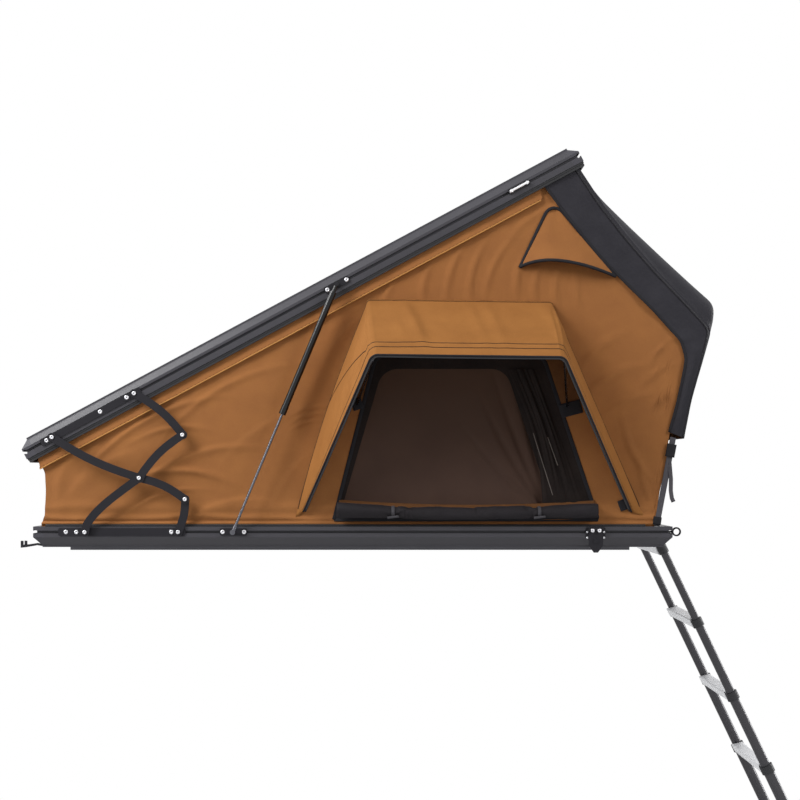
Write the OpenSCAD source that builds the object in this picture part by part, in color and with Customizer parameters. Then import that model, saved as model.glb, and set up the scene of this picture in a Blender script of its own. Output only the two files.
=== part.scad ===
// Roof top tent: a framed base and a framed lid joined by crossed hinge bars and gas struts,
// with fabric walls, a door hood on each side, a rear flysheet on a bow and a telescopic ladder.
// Millimetres, +Z up, +X towards the ladder end, +Y to the far side, Z = 0 on the rack.

/* [Shell] */
// Length of the base and of the lid
tent_l = 2148; // [2000:1:2400]
// Width of the base and of the lid
tent_w = 1450; // [1300:1:1700]
// Height of the mounting rails from the rack to the floor panel
rack_h = 29; // [20:1:60]
// Height of the base rails
base_h = 70; // [68:1:90]
// Height of the lid rails
lid_h = 67; // [64:1:90]
// Depth of a rail from its inner face to its outer face
rail_d = 36; // [34:1:46]
// Height of the slanted lower part of a base rail
base_taper = 34; // [28:1:38]
// Height of the slanted upper part of a lid rail
lid_taper = 30; // [24:1:32]
// Height of the slot centre above the foot of a base rail
base_slot = 52; // [48:0.5:56]
// Height of the slot centre above the lower lip of a lid rail
lid_slot = 24; // [18:0.5:26]
// Wall of the hollow rails
rail_wall = 2.5; // [2:0.1:4]
// Gap between base and lid when shut, filled by the seal
seal_gap = 15; // [12:0.5:24]
// Thickness of the floor panel
floor_t = 12; // [9:1:20]
// Thickness of the lid panel
panel_t = 2.5; // [1.5:0.5:8]
// Thickness of the mattress at its edge
mattress_t = 55; // [40:1:58]

/* [Hinge bars] */
// Angle of the open lid
lid_angle = 28.2; // [20:0.1:34]
// How much shorter than the base the lid is, at its rear end
lid_short = 26; // [0:1:40]
// How far the front lip of the open lid stands in front of the base
lid_fwd = 21; // [0:1:60]
// Height of the front lip of the open lid above the base
lid_rise = 226; // [180:1:260]
// Distance from the lid's front end to its first pivot
lid_pivot = 112; // [80:1:160]
// Distance from the base's front end to its first pivot
base_pivot = 177; // [140:1:220]
// Distance between the two pivots on each plate
pivot_span = 311; // [280:1:340]
// Upper bar from its lid pivot to the crossing
bar_upper = 323; // [300:1:350]
// Lower bar from its base pivot to the crossing
bar_lower = 257; // [240:1:280]
// Width of the bars
bar_w = 27; // [20:0.5:27]
// Thickness of the bars
bar_t = 4; // [3:0.5:5]
// Thickness of the plates on the rails
plate_t = 3.5; // [2.5:0.5:5]
// Height of the plates on the rails
plate_h = 26; // [20:1:28]
// Radius of the hinge pins
pin_r = 5; // [4:0.5:6]
// Radial running clearance of every pin
run_c = 0.05; // [0.02:0.01:0.1]

/* [Gas struts] */
// Distance from the lid's front end to the upper strut stud
strut_u = 1195; // [1100:1:1300]
// Distance from the base's front end to the lower strut stud
strut_x = 673; // [640:1:740]
// Radius of the barrel
barrel_r = 11; // [9:0.5:12]
// Length of the barrel from the upper stud to its lower end
barrel_l = 473; // [440:1:490]
// Radius of the rod
rod_r = 4.5; // [3:0.5:6]
// Distance of the strut axis from the rail
strut_off = 25; // [23:0.5:30]

/* [Ladder] */
// Angle of the ladder below level
ladder_a = 64.5; // [55:0.5:80]
// Number of ladder sections
ladder_n = 7; // [7:1:7]
// Distance between two steps
step_gap = 300; // [260:1:320]
// Half the distance between the ladder rails
ladder_y = 220; // [180:1:260]
// Radius of the uppermost ladder tube
tube_r = 14; // [12:0.5:18]
// How much thicker in radius each lower tube is
tube_grow = 2; // [2:0.1:3]
// Wall of the ladder tubes
tube_wall = 1.5; // [1.2:0.1:1.6]
// Length by which two tubes overlap
tube_lap = 40; // [30:1:50]
// Length of the last tube below its step
foot_l = 310; // [300:1:360]
// Distance of the ladder pivot behind the base
ladder_out = 45; // [40:1:70]
// Height of the ladder pivot above the rack
ladder_z = 27; // [15:1:40]

/* [Fabric] */
// Thickness of the fabric
cloth_t = 2; // [1.2:0.1:3]
// Distance from the rail's inner face to the wall
wall_in = 15; // [12:0.5:18]
// Clearance between soft pieces and their neighbours
soft_c = 0.3; // [0.2:0.05:0.6]
// Height of the top seam of the hood above the base
hood_seam = 757; // [650:1:800]
// Height of the hood's front edge above the base
hood_top = 553; // [450:1:620]
// How far the hood stands out at its front edge
hood_out = 285; // [200:1:320]
// Distance from the rear end to the middle of the door
door_in = 688; // [640:1:760]
// Height of the door opening above the base
door_top = 540; // [460:1:600]
// Radius of the rolled door
roll_r = 31; // [22:1:36]

/* [Rear bow] */
// Distance from the rear end of the base to the bow pivot
bow_in = 144; // [120:1:200]
// Height of the bow pivot above the base
bow_up = 13; // [12:1:20]
// Lean of the bow from upright
bow_lean = 21.9; // [15:0.1:26]
// Length of the bow from its pivot to its crown
bow_l = 792; // [740:1:840]
// Corner radius of the bow
bow_r = 96; // [80:1:160]
// Radius of the bow tube
bow_tube = 9; // [7:0.5:11]

/* [Fittings] */
// Distance from the rear end to the latch
latch_in = 259; // [200:1:380]
// Length of the latch lever
lever_l = 79; // [60:1:90]
// Width of the latch lever
lever_w = 48; // [42:1:52]
// Width of the latch plate
latch_w = 66; // [60:1:80]
// Radius of the hole in an eye bolt
eye_r = 10; // [9:0.5:14]
// Radius of a rivet head
rivet_r = 7; // [5:0.5:8]
// Half the distance between the mounting rails
rack_y = 400; // [300:1:500]
// Half the distance between the mounting slots of a rail
rack_x = 550; // [400:1:700]
// Half the width of a mounting slot
rack_hole = 4.5; // [3.5:0.1:6]
// Length of a mounting slot
rack_slot = 120; // [60:1:160]

/* [Hidden] */
$fn = 48;
// Shape of the rails
rail_foot = 10;
rail_lip = 6;
mouth_w = 9;
mouth_d = 3;
cave_w = 16;
cave_d = 11;
ledge = 12;
ledge_t = 4;
// Main planes
hl = tent_l / 2;
lid_l = tent_l - lid_short;
hw = tent_w / 2;
xi = hl - rail_d;
yi = hw - rail_d;
zb = rack_h - ledge_t;
zt = zb + base_h;
zl = zt + seal_gap;
slot_z = zb + base_slot;
y_wall = yi + wall_in;
// Layers of the hinge, counted outwards from the middle of the tent
link_y = hw + plate_t + 0.5;
head_gap = 3;
upper_y = link_y + bar_t + head_gap;
lower_y = upper_y + bar_t + 0.5;
head_t = 2.2;
bar_eye = 1;
head_r = pin_r + 3;
stub_r = pin_r + 2;
strut_y = hw + strut_off;
eye_t = 14;

function rot2(p, a) = [p[0] * cos(a) - p[1] * sin(a), p[0] * sin(a) + p[1] * cos(a)];
function unit(v) = v / norm(v);
function left_of(v) = [-v[1], v[0]];
function dir_of(v) = atan2(v[1], v[0]);
function mix(p, q, t) = p + (q - p) * t;
// Meeting point of two bars of lengths r and s that start at p and q
function meet(p, r, q, s) = let (n = norm(q - p), a = (r * r - s * s + n * n) / (2 * n), e = (q - p) / n)
    p + e * a + left_of(e) * sqrt(max(0, r * r - a * a));
// Place on a bar that is equally far from a second pivot in the open and in the shut pose
function reach(p0, a0, p1, a1, q0, q1) = let (b0 = rot2(q0 - p0, -a0), b1 = rot2(q1 - p1, -a1))
    ((b0 + b1) / 2 * (b1 - b0)) / (b1[0] - b0[0]);

// Open and shut places of the lid, from its front lower corner
lid0 = [-hl - lid_fwd, zt + lid_rise];
function lid_at(p) = lid0 + rot2(p, lid_angle);
function lid_shut(p) = [-hl, zl] + p;
lid_a = lid_at([lid_pivot, lid_slot]);
lid_b = lid_at([lid_pivot + pivot_span, lid_slot]);
base_b = [-hl + base_pivot, slot_z];
base_a = base_b + [pivot_span, 0];
shut_a = lid_shut([lid_pivot, lid_slot]);
shut_b = lid_shut([lid_pivot + pivot_span, lid_slot]);
// Crossing and end pivots of the two long bars
cross_o = meet(lid_a, bar_upper, base_b, bar_lower);
cross_s = meet(shut_a, bar_upper, base_b, bar_lower);
upper_dir = dir_of(cross_o - lid_a);
lower_dir = dir_of(cross_o - base_b);
upper_l = reach(lid_a, upper_dir, shut_a, dir_of(cross_s - shut_a), base_a, base_a);
lower_l = reach(base_b, lower_dir, base_b, dir_of(cross_s - base_b), lid_b, shut_b);
upper_end = lid_a + rot2([upper_l, 0], upper_dir);
lower_end = base_b + rot2([lower_l, 0], lower_dir);
// Gas strut
stud_b = [-hl + strut_x, slot_z];
stud_l = lid_at([strut_u, lid_slot]);
strut_l = norm(stud_l - stud_b);
strut_dir = dir_of(stud_l - stud_b);
// Rear bow
bow_x = hl - bow_in;
bow_z = zt + bow_up;
bow_eye = 2 * bow_tube + 2;
bow_y = yi - 8 - bow_eye / 2;
function bow_at(s, out) = [bow_x + s * sin(bow_lean) + out * cos(bow_lean), bow_z + s * cos(bow_lean) - out * sin(bow_lean)];
// Height on the bow of a curve that runs round it at a distance o, at the width y
function bow_s(y, o) = let (r = bow_r + o, e = min(r, max(0, abs(y) - bow_y + bow_r)))
    bow_l - bow_r + max(o, sqrt(r * r - e * e));
// Rear edge of the walls, from the base up to the bow
lid_rear = lid_at([lid_l - rail_d + 4, -soft_c]);
rear_edge = [[hl - 57, zt], [hl - 38, zt + 135], [hl - 10, zt + 310], bow_at(505, 16)];
function rear_tip(y, out) = bow_at(bow_s(y, out), out);
// Door opening and hood outline on the wall, then the hood's front edge
door_x = hl - door_in;
door_pts = [[door_x - 430, zt + 23], [door_x + 444, zt + 23],
    [door_x + 254, zt + door_top], [door_x - 268, zt + door_top]];
seam_pts = [[door_x - 574, zt + 32], [door_x - 322, zt + hood_seam],
    [door_x + 286, zt + hood_seam], [door_x + 597, zt + 32]];
hem_pts = [[door_x - 553, zt + 49], [door_x - 284, zt + hood_top],
    [door_x + 296, zt + hood_top], [door_x + 552, zt + 49]];
flap_pts = [[hl - 398, zt + 1075], [hl - 512, zt + 872], [hl - 188, zt + 842]];
latch_x = hl - latch_in;

module left_right() {
    children();
    mirror([0, 1, 0]) children();
}
module along_x(l) rotate([90, 0, 90]) linear_extrude(l, center = true) children();
module along_y(l) rotate([90, 0, 0]) linear_extrude(l, center = true) children();
// A plate in the X-Z plane on the left side, from y outwards by t
module side_plate(y, t) translate([0, -y, 0]) rotate([90, 0, 0]) linear_extrude(t) children();
module side_pin(p, r, y0, y1) side_plate(y0, y1 - y0) translate(p) circle(r);
module strip_2d(w, h, r) {
    square([w - 2 * r, h], center = true);
    square([w, h - 2 * r], center = true);
    for (i = [-1, 1], j = [-1, 1]) translate([i * (w / 2 - r), j * (h / 2 - r)]) circle(r);
}
// The open lid's own frame: X along the lid from its middle, Z from its lower lip
module in_lid() translate([lid0[0], 0, lid0[1]]) rotate([0, -lid_angle, 0]) translate([hl, 0, 0]) children();
module in_bow() translate([bow_x, 0, bow_z]) rotate([0, bow_lean, 0]) children();
// The strut's own frame: Z from the lower stud to the upper one
module in_strut() translate([stud_b[0], -strut_y, stud_b[1]]) rotate([0, 90 - strut_dir, 0]) children();
// The ladder's own frame: Z down along the ladder from its pivot
module in_ladder() translate([hl + ladder_out, 0, ladder_z]) rotate([0, 90 + ladder_a, 0]) children();

// Rails
function rail_pts(h, taper, slot) = [
    [0, 0], [rail_foot, 0], [rail_foot, rail_lip], [rail_d, taper],
    [rail_d, slot - mouth_w / 2], [rail_d - mouth_d, slot - mouth_w / 2],
    [rail_d - mouth_d, slot - cave_w / 2], [rail_d - cave_d, slot - cave_w / 2],
    [rail_d - cave_d, slot + cave_w / 2], [rail_d - mouth_d, slot + cave_w / 2],
    [rail_d - mouth_d, slot + mouth_w / 2], [rail_d, slot + mouth_w / 2],
    [rail_d, h], [0, h]];
function hollow_pts(h, taper) = let (x = rail_d - cave_d - rail_wall, k = (taper - rail_lip) / (rail_d - rail_foot)) [
    [rail_wall, rail_wall], [rail_foot - rail_wall, rail_wall], [rail_foot - rail_wall, rail_lip + 2],
    [x, rail_lip + (x - rail_foot) * k + rail_wall + 2], [x, h - rail_wall], [rail_wall, h - rail_wall]];
module rail_2d(h, taper, slot) {
    difference() {
        union() {
            polygon(rail_pts(h, taper, slot));
            translate([-ledge, 0]) square([ledge + rail_wall, ledge_t]);
        }
        polygon(hollow_pts(h, taper));
    }
}
module side_rails(x, h, taper, slot) left_right() translate([0, yi, 0]) along_x(2 * x) rail_2d(h, taper, slot);
// The ledge of an end rail stops where the side rail's ledge begins
module end_rails(x, h, taper, slot) {
    for (s = [0, 1]) mirror([s, 0, 0]) translate([x, 0, 0]) difference() {
        along_y(2 * yi) rail_2d(h, taper, slot);
        left_right() translate([-ledge - 1, -yi - 1, -1]) cube([ledge + 1, ledge + 1, ledge_t + 2]);
    }
}
module corners(x, h, taper, slot) {
    for (i = [0, 1], j = [0, 1]) mirror([i, 0, 0]) mirror([0, j, 0]) intersection() {
        translate([x + rail_d / 2, yi, 0]) along_x(rail_d) polygon(rail_pts(h, taper, slot));
        translate([x, yi + rail_d / 2, 0]) along_y(rail_d) polygon(rail_pts(h, taper, slot));
    }
}
module in_base() translate([0, 0, zb]) children();
// The same frame from the middle of the lid itself
module in_lid_mid() in_lid() translate([-lid_short / 2, 0, 0]) children();
module in_lid_flipped() in_lid_mid() translate([0, 0, lid_h]) mirror([0, 0, 1]) children();

module base_side_rails() color("#46444a") in_base() side_rails(xi, base_h, base_taper, base_slot);
module base_end_rails() color("#46444a") in_base() end_rails(xi, base_h, base_taper, base_slot);
module base_corners() color("#77757b") in_base() corners(xi, base_h, base_taper, base_slot);
module lid_side_rails() color("#46444a") in_lid_flipped() side_rails(xi - lid_short / 2, lid_h, lid_taper, lid_h - lid_slot);
module lid_end_rails() color("#46444a") in_lid_flipped() end_rails(xi - lid_short / 2, lid_h, lid_taper, lid_h - lid_slot);
module lid_corners() color("#77757b") in_lid_flipped() corners(xi - lid_short / 2, lid_h, lid_taper, lid_h - lid_slot);
module base_floor() color("#8a8a8a") translate([-xi, -yi, rack_h]) cube([2 * xi, 2 * yi, floor_t]);
module lid_panel() color("#3c3c3f") in_lid_mid()
    translate([lid_short / 2 - xi, -yi, lid_h - ledge_t - panel_t]) cube([2 * xi - lid_short, 2 * yi, panel_t]);
module ring_2d(d0, d1) {
    difference() {
        square([lid_l - 2 * d0, tent_w - 2 * d0], center = true);
        square([lid_l - 2 * d1, tent_w - 2 * d1], center = true);
    }
}
module lid_seal() color("#202022") in_lid_mid() {
    translate([0, 0, -6]) linear_extrude(6) ring_2d(2, 12);
    translate([0, 0, 0.5 - seal_gap]) linear_extrude(seal_gap - 6) ring_2d(3.5, 10.5);
}
module mounting_rails() color("#5a5a5e") left_right() translate([0, -rack_y, 0]) difference() {
    translate([-xi + 24, -20, 0]) cube([2 * xi - 82, 40, rack_h]);
    translate([-xi + 27, -17, 3]) cube([2 * xi - 88, 34, rack_h - 6]);
    for (s = [-1, 1]) translate([s * rack_x, 0, -1]) linear_extrude(6) {
        square([rack_slot - 2 * rack_hole, 2 * rack_hole], center = true);
        for (e = [-1, 1]) translate([e * (rack_slot / 2 - rack_hole), 0]) circle(rack_hole);
    }
}

// Closed skin between two equal grids of points: the outer one and the inner one
module skin(a, b) {
    n = len(a);
    m = len(a[0]);
    pts = concat([for (i = [0:n - 1], j = [0:m - 1]) a[i][j]], [for (i = [0:n - 1], j = [0:m - 1]) b[i][j]]);
    o = n * m;
    faces = concat(
        [for (i = [0:n - 2], j = [0:m - 2]) let (p = i * m + j) [p, p + m, p + 1]],
        [for (i = [0:n - 2], j = [0:m - 2]) let (p = i * m + j) [p + 1, p + m, p + m + 1]],
        [for (i = [0:n - 2], j = [0:m - 2]) let (p = o + i * m + j) [p, p + 1, p + m]],
        [for (i = [0:n - 2], j = [0:m - 2]) let (p = o + i * m + j) [p + 1, p + m + 1, p + m]],
        [for (j = [0:m - 2]) [j, j + 1, o + j]],
        [for (j = [0:m - 2]) [j + 1, o + j + 1, o + j]],
        [for (j = [0:m - 2]) let (p = (n - 1) * m + j) [p, o + p, p + 1]],
        [for (j = [0:m - 2]) let (p = (n - 1) * m + j) [p + 1, o + p, o + p + 1]],
        [for (i = [0:n - 2]) let (p = i * m) [p, o + p, p + m]],
        [for (i = [0:n - 2]) let (p = i * m) [p + m, o + p, o + p + m]],
        [for (i = [0:n - 2]) let (p = i * m + m - 1) [p, p + m, o + p]],
        [for (i = [0:n - 2]) let (p = i * m + m - 1) [p + m, o + p + m, o + p]]);
    polyhedron(pts, faces);
}
function grid_normal(g, i, j) = let (n = len(g), m = len(g[0]),
    u = g[min(i + 1, n - 1)][j] - g[max(i - 1, 0)][j], v = g[i][min(j + 1, m - 1)] - g[i][max(j - 1, 0)])
    unit(cross(u, v));
// A cloth of even thickness t on the far side of a grid
module cloth(g, t) {
    skin(g, [for (i = [0:len(g) - 1]) [for (j = [0:len(g[0]) - 1]) g[i][j] + t * grid_normal(g, i, j)]]);
}

// Mattress with a crown and drawn-in edges
module mattress() {
    mx = xi - 28;
    my = yi - 34;
    z0 = rack_h + floor_t;
    function pad(u, v) = pow((1 - pow(abs(u), 8)) * (1 - pow(abs(v), 8)), 0.4);
    us = [for (i = [0:16]) sin(i * 11.25 - 90)];
    vs = [for (i = [0:12]) sin(i * 15 - 90)];
    top = [for (u = us) [for (v = vs) [mx * u, my * v, z0 + mattress_t * 0.45 + mattress_t * 0.55 * pad(u, v)]]];
    low = [for (u = us) [for (v = vs) [(mx - 5) * u, (my - 5) * v, z0]]];
    color("#6f6a66") skin(low, top);
}

// Crossed hinge bars
function bow_line(p, q, b, n) = [for (i = [0:n]) mix(p, q, i / n) + b * sin(180 * i / n) * left_of(unit(q - p))];
// The same, with its fullest point near the first end
function knee_line(p, q, b, n) = [for (i = [0:n]) mix(p, q, i / n) + b * sin(180 * pow(i / n, 0.62)) * left_of(unit(q - p))];
function tail(v) = [for (i = [1:len(v) - 1]) v[i]];
function bar_n(pts, i) = left_of(unit(pts[min(i + 1, len(pts) - 1)] - pts[max(i - 1, 0)]));
module bar_2d(pts) {
    n = len(pts) - 1;
    polygon(concat(
        [for (i = [0:n]) pts[i] + bar_n(pts, i) * bar_w / 2],
        [for (i = [n:-1:0]) pts[i] - bar_n(pts, i) * bar_w / 2]));
    translate(pts[0]) circle(bar_w / 2 + bar_eye);
    translate(pts[n]) circle(bar_w / 2 + bar_eye);
}
module upper_arms() color("#2b2b2e") left_right() {
    difference() {
        side_plate(upper_y, bar_t) {
            bar_2d(concat(bow_line(lid_a, cross_o, -13, 10), tail(bow_line(cross_o, upper_end, 11, 6))));
            translate(cross_o) circle(bar_w / 2 + 3);
        }
        side_pin(lid_a, pin_r + run_c, upper_y - 1, upper_y + bar_t + 1);
        side_pin(cross_o, pin_r + run_c, upper_y - 1, upper_y + bar_t + 1);
    }
    side_pin(upper_end, stub_r, link_y + bar_t + soft_c, upper_y + 1);
    side_pin(upper_end, head_r, upper_y + bar_t - 1, upper_y + bar_t + head_t);
}
module lower_arms() color("#2b2b2e") left_right() {
    difference() {
        side_plate(lower_y, bar_t) {
            bar_2d(concat(knee_line(base_b, cross_o, 20, 12), tail(bow_line(cross_o, lower_end, 12, 6))));
            translate(cross_o) circle(bar_w / 2 + 3);
        }
        side_pin(base_b, pin_r + run_c, lower_y - 1, lower_y + bar_t + 1);
    }
    side_pin(cross_o, pin_r, upper_y - soft_c - head_t, lower_y + 1);
    side_pin(cross_o, head_r, upper_y - soft_c - head_t, upper_y - soft_c);
    side_pin(cross_o, head_r, lower_y + bar_t - 1, lower_y + bar_t + head_t);
    side_pin(lower_end, stub_r, link_y + bar_t + soft_c, lower_y + 1);
    side_pin(lower_end, head_r, lower_y + bar_t - 1, lower_y + bar_t + head_t);
}
module base_links() color("#2b2b2e") left_right() difference() {
    side_plate(link_y, bar_t) bar_2d(bow_line(base_a, upper_end, -7, 8));
    side_pin(base_a, pin_r + run_c, link_y - 1, link_y + bar_t + 1);
}
module lid_links() color("#2b2b2e") left_right() difference() {
    side_plate(link_y, bar_t) bar_2d(bow_line(lid_b, lower_end, 13, 10));
    side_pin(lid_b, pin_r + run_c, link_y - 1, link_y + bar_t + 1);
}
// A plate with its two fixed pins: p0 and p1 are the pivots, y0 and y1 the bars that turn on them
module pivot_plate(p0, y0, p1, y1, before) {
    side_plate(hw, plate_t) translate([(p0[0] - before + p1[0] + 24) / 2, p0[1]])
        strip_2d(p1[0] + 24 - p0[0] + before, plate_h, 6);
    pivot(p0, y0);
    pivot(p1, y1);
}
module pivot(p, y) {
    side_pin(p, head_r, hw, y - soft_c);
    side_pin(p, pin_r, hw, y + bar_t + soft_c + head_t);
    side_pin(p, head_r, y + bar_t + soft_c, y + bar_t + soft_c + head_t);
}
module base_hinge_plates() color("#29292c") left_right() pivot_plate(base_b, lower_y, base_a, link_y, 92);
module lid_hinge_plates() color("#29292c") in_lid() left_right() {
    p = [lid_pivot - hl, lid_slot];
    q = p + [pivot_span, 0];
    pivot_plate(p, upper_y, q, link_y, 44);
    side_pin(q - [29, 0], 13, hw, hw + plate_t + 2);
}
// Rivet head with a drilled middle
module rivet(p, y, r) difference() {
    side_plate(y, 2.6) translate(p) circle(r);
    side_pin(p, r * 0.35, y + 1.6, y + 4);
}
module base_rivets() color("#c9cacc") left_right() {
    for (d = [-66, -31]) rivet(base_b + [d, 0], hw + plate_t, rivet_r);
    rivet(base_a - [23, 0], hw + plate_t, rivet_r);
    for (d = [-36, 36]) rivet(stud_b + [d, 0], hw + plate_t, rivet_r);
    for (i = [-1, 1], z = [-13, -2]) rivet([latch_x + i * (latch_w / 2 - 6), slot_z + z], hw + 2.5, 4.8);
}
module lid_rivets() color("#c9cacc") in_lid() left_right() {
    p = [lid_pivot - hl, lid_slot];
    rivet(p - [23, 0], hw + plate_t, rivet_r);
    rivet(p + [181, 0], hw + plate_t, rivet_r);
    rivet(p + [pivot_span - 29, 0], hw + plate_t + 2, rivet_r);
    for (d = [-36, 36]) rivet([strut_u - hl + d, lid_slot], hw + plate_t, rivet_r);
}

// Gas struts
module stud_plate(p) side_plate(hw, plate_t) translate(p) strip_2d(92, plate_h - 2, 6);
module base_strut_studs() color("#29292c") left_right() {
    stud_plate(stud_b);
    side_pin(stud_b, 5, hw, strut_y - eye_t / 2 - soft_c);
}
module lid_strut_studs() color("#29292c") in_lid() left_right() {
    p = [strut_u - hl, lid_slot];
    stud_plate(p);
    side_pin(p, 8, hw, strut_y - eye_t / 2 - soft_c);
    side_pin(p, 4, hw, strut_y + eye_t / 2 + soft_c + head_t);
    side_pin(p, 6.5, strut_y + eye_t / 2 + soft_c, strut_y + eye_t / 2 + soft_c + head_t);
}
module strut_eye(z) translate([0, 0, z]) rotate([90, 0, 0]) cylinder(r = 9, h = eye_t, center = true);
module strut_rods() color("#b9babd") left_right() in_strut() {
    piston = strut_l - barrel_l + 33;
    strut_eye(0);
    cylinder(r = 6.5, h = 24);
    cylinder(r = rod_r, h = piston);
    translate([0, 0, piston - 14]) cylinder(r = barrel_r - 2, h = 14);
}
module strut_barrels() color("#1d1d20") left_right() in_strut() difference() {
    union() {
        strut_eye(strut_l);
        translate([0, 0, strut_l - 34]) cylinder(r = 6.5, h = 32);
        translate([0, 0, strut_l - barrel_l]) cylinder(r = barrel_r, h = barrel_l - 30);
        translate([0, 0, strut_l - barrel_l]) cylinder(r = barrel_r + 1, h = 30);
    }
    translate([0, 0, strut_l]) rotate([90, 0, 0]) cylinder(r = 4 + run_c, h = 40, center = true);
    translate([0, 0, strut_l - barrel_l - 1]) cylinder(r = rod_r + 0.2, h = 40);
    translate([0, 0, strut_l - barrel_l + 8]) cylinder(r = barrel_r - 1.8, h = barrel_l - 46);
}

// Rear bow of bent tube and its brackets
module rear_bow() color("#8d8f93") in_bow() difference() {
    union() {
        left_right() {
            translate([0, -bow_y, 0]) cylinder(r = bow_tube, h = bow_l - bow_r);
            translate([0, -bow_y, 0]) rotate([90, 0, 0]) cylinder(r = bow_tube + 5, h = bow_eye, center = true);
            translate([0, bow_r - bow_y, bow_l - bow_r]) rotate([90, 0, 90]) rotate([0, 0, 90])
                rotate_extrude(angle = 90) translate([bow_r, 0]) circle(bow_tube);
        }
        translate([0, 0, bow_l]) rotate([90, 0, 0]) cylinder(r = bow_tube, h = 2 * (bow_y - bow_r), center = true);
    }
    left_right() translate([0, -bow_y, 0]) rotate([90, 0, 0]) cylinder(r = pin_r + run_c, h = bow_eye + 2, center = true);
}
module bow_brackets() color("#3a3a3d") left_right() {
    p = [bow_x, bow_z];
    side_plate(yi - 4, 4 - soft_c) {
        translate(p) circle(16);
        translate([bow_x - 16, zt - 32]) square([32, bow_z - zt + 32]);
    }
    side_plate(yi - 4, 4) translate([bow_x - 16, zt - 32]) square([32, 31]);
    side_pin(p, head_r, bow_y + bow_eye / 2 + soft_c, yi - 3);
    side_pin(p, pin_r, bow_y - bow_eye / 2 - soft_c - head_t, yi - 3);
    side_pin(p, head_r, bow_y - bow_eye / 2 - soft_c - head_t, bow_y - bow_eye / 2 - soft_c);
}

// Fabric walls
x_front = -xi - 4;
lid_front = lid_at([rail_d - 4, -soft_c]);
module side_walls() color("#8f5c34") left_right() side_plate(y_wall - cloth_t / 2, cloth_t) difference() {
    polygon(concat([[x_front, zt]], rear_edge, [rear_tip(y_wall, 0), lid_rear, lid_front]));
    polygon(door_pts);
}
module front_wall() color("#8f5c34") rotate([90, 0, 0])
    linear_extrude(2 * (y_wall - cloth_t / 2 - soft_c), center = true)
    polygon([[x_front, zt], lid_front, lid_front - rot2([cloth_t, 0], lid_angle), [x_front - cloth_t, zt]]);
bow_ys = [-bow_y, -655, -630, -600, bow_r - bow_y, -280, 0, 280, bow_y - bow_r, 600, 630, 655, bow_y];
rear_ys = concat([-y_wall + 1.5, -690], bow_ys, [690, y_wall - 1.5]);
function rear_line(y, out) = let (tip = rear_tip(y, bow_tube + 2 + out))
    concat([rear_edge[0] + [out, soft_c]], [for (i = [1:3]) rear_edge[i] + [out, 0]],
        [mix(rear_edge[3], tip, 0.6) + [2 + out, 0], tip, mix(tip, lid_rear, 0.5)],
        [lid_at([lid_l - rail_d, -soft_c - cloth_t / 2])]);
module rear_wall() color("#7d5130")
    cloth([for (y = rear_ys) [for (p = rear_line(y, 0)) [p[0], y, p[1]]]], cloth_t);
module door_meshes() color("#3a3533") left_right() side_plate(y_wall - cloth_t / 2 - soft_c - 1.5, 1.5)
    polygon([door_pts[0] + [-14, -10], door_pts[1] + [16, -10], door_pts[2] + [6, 10], door_pts[3] + [-8, 10]]);
module door_rolls() color("#2c2b31") left_right() {
    len = door_pts[1][0] - door_pts[0][0] + 16;
    translate([door_pts[0][0] - 8, -y_wall - cloth_t / 2 - soft_c - roll_r, zt + 21 + roll_r]) rotate([0, 90, 0]) {
        cylinder(r = roll_r, h = len);
        for (t = [0.22, 0.78]) translate([0, 0, len * t - 12]) cylinder(r = roll_r + 2, h = 24);
    }
}
// Vent flap: a three-cornered panel that stands out along its lower edge
module window_flaps() {
    function flap_edge(t) = mix(flap_pts[1], flap_pts[2], t) + [0, 34 * sin(180 * t)];
    y0 = -y_wall - cloth_t / 2 - soft_c;
    rows = [for (i = [0:8]) let (k = 0.06 + 0.94 * i / 8) [for (j = [0:12]) let (t = j / 12, p = mix(flap_pts[0], flap_edge(t), k))
        [p[0], y0 - 44 * k * k * pow(sin(180 * t), 0.8), p[1]]]];
    color("#9b6a3c") left_right() cloth([for (i = [8:-1:0]) rows[i]], -cloth_t);
}

// Door hood: a soft canopy from the wall seam to a sprung hoop
function arc_pts(p, a, b, r, n) = let (ta = unit(a - p), tb = unit(b - p), h = acos(ta * tb) / 2,
    c = p + unit(ta + tb) * r / sin(h), a0 = dir_of(p + ta * r / tan(h) - c), a1 = dir_of(p + tb * r / tan(h) - c),
    d = a1 - a0 > 180 ? a1 - a0 - 360 : a1 - a0 < -180 ? a1 - a0 + 360 : a1 - a0)
    [for (i = [0:n]) c + r * [cos(a0 + d * i / n), sin(a0 + d * i / n)]];
function hood_path(q, r) = concat([for (i = [0:5]) mix(q[0], mix(q[0], q[1], 0.9), i / 6)], arc_pts(q[1], q[0], q[2], r, 6),
    [for (i = [1:5]) mix(q[1], q[2], 0.12 + 0.76 * i / 6)], arc_pts(q[2], q[1], q[3], r, 6),
    [for (i = [1:6]) mix(mix(q[3], q[2], 0.9), q[3], i / 6)]);
y_hood = y_wall + cloth_t * 1.1 + soft_c;
function hem_y(z) = y_hood + 6 + hood_out * (z - hem_pts[0][1]) / (hem_pts[1][1] - hem_pts[0][1]);
function hood_pt(a, b, k) = let (c = [door_x, zt + 300], p = mix(a, b, k), up = (p[1] - hem_pts[0][1]) / hood_seam)
    [p[0] + (p[0] - c[0]) * 0.03 * sin(180 * k), -mix(y_hood, hem_y(b[1]), k) - 14 * sin(180 * k) * up, p[1] + 12 * sin(180 * k) * up];
seam_path = hood_path(seam_pts, 70);
hem_path = hood_path(hem_pts, 46);
hood_grid = [for (k = [0:6]) [for (i = [0:len(seam_path) - 1]) hood_pt(seam_path[i], hem_path[i], k / 6)]];
module hood() color("#9b6a3c") cloth(hood_grid, -cloth_t);
module awning_left() hood();
module awning_right() mirror([0, 1, 0]) hood();
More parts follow.
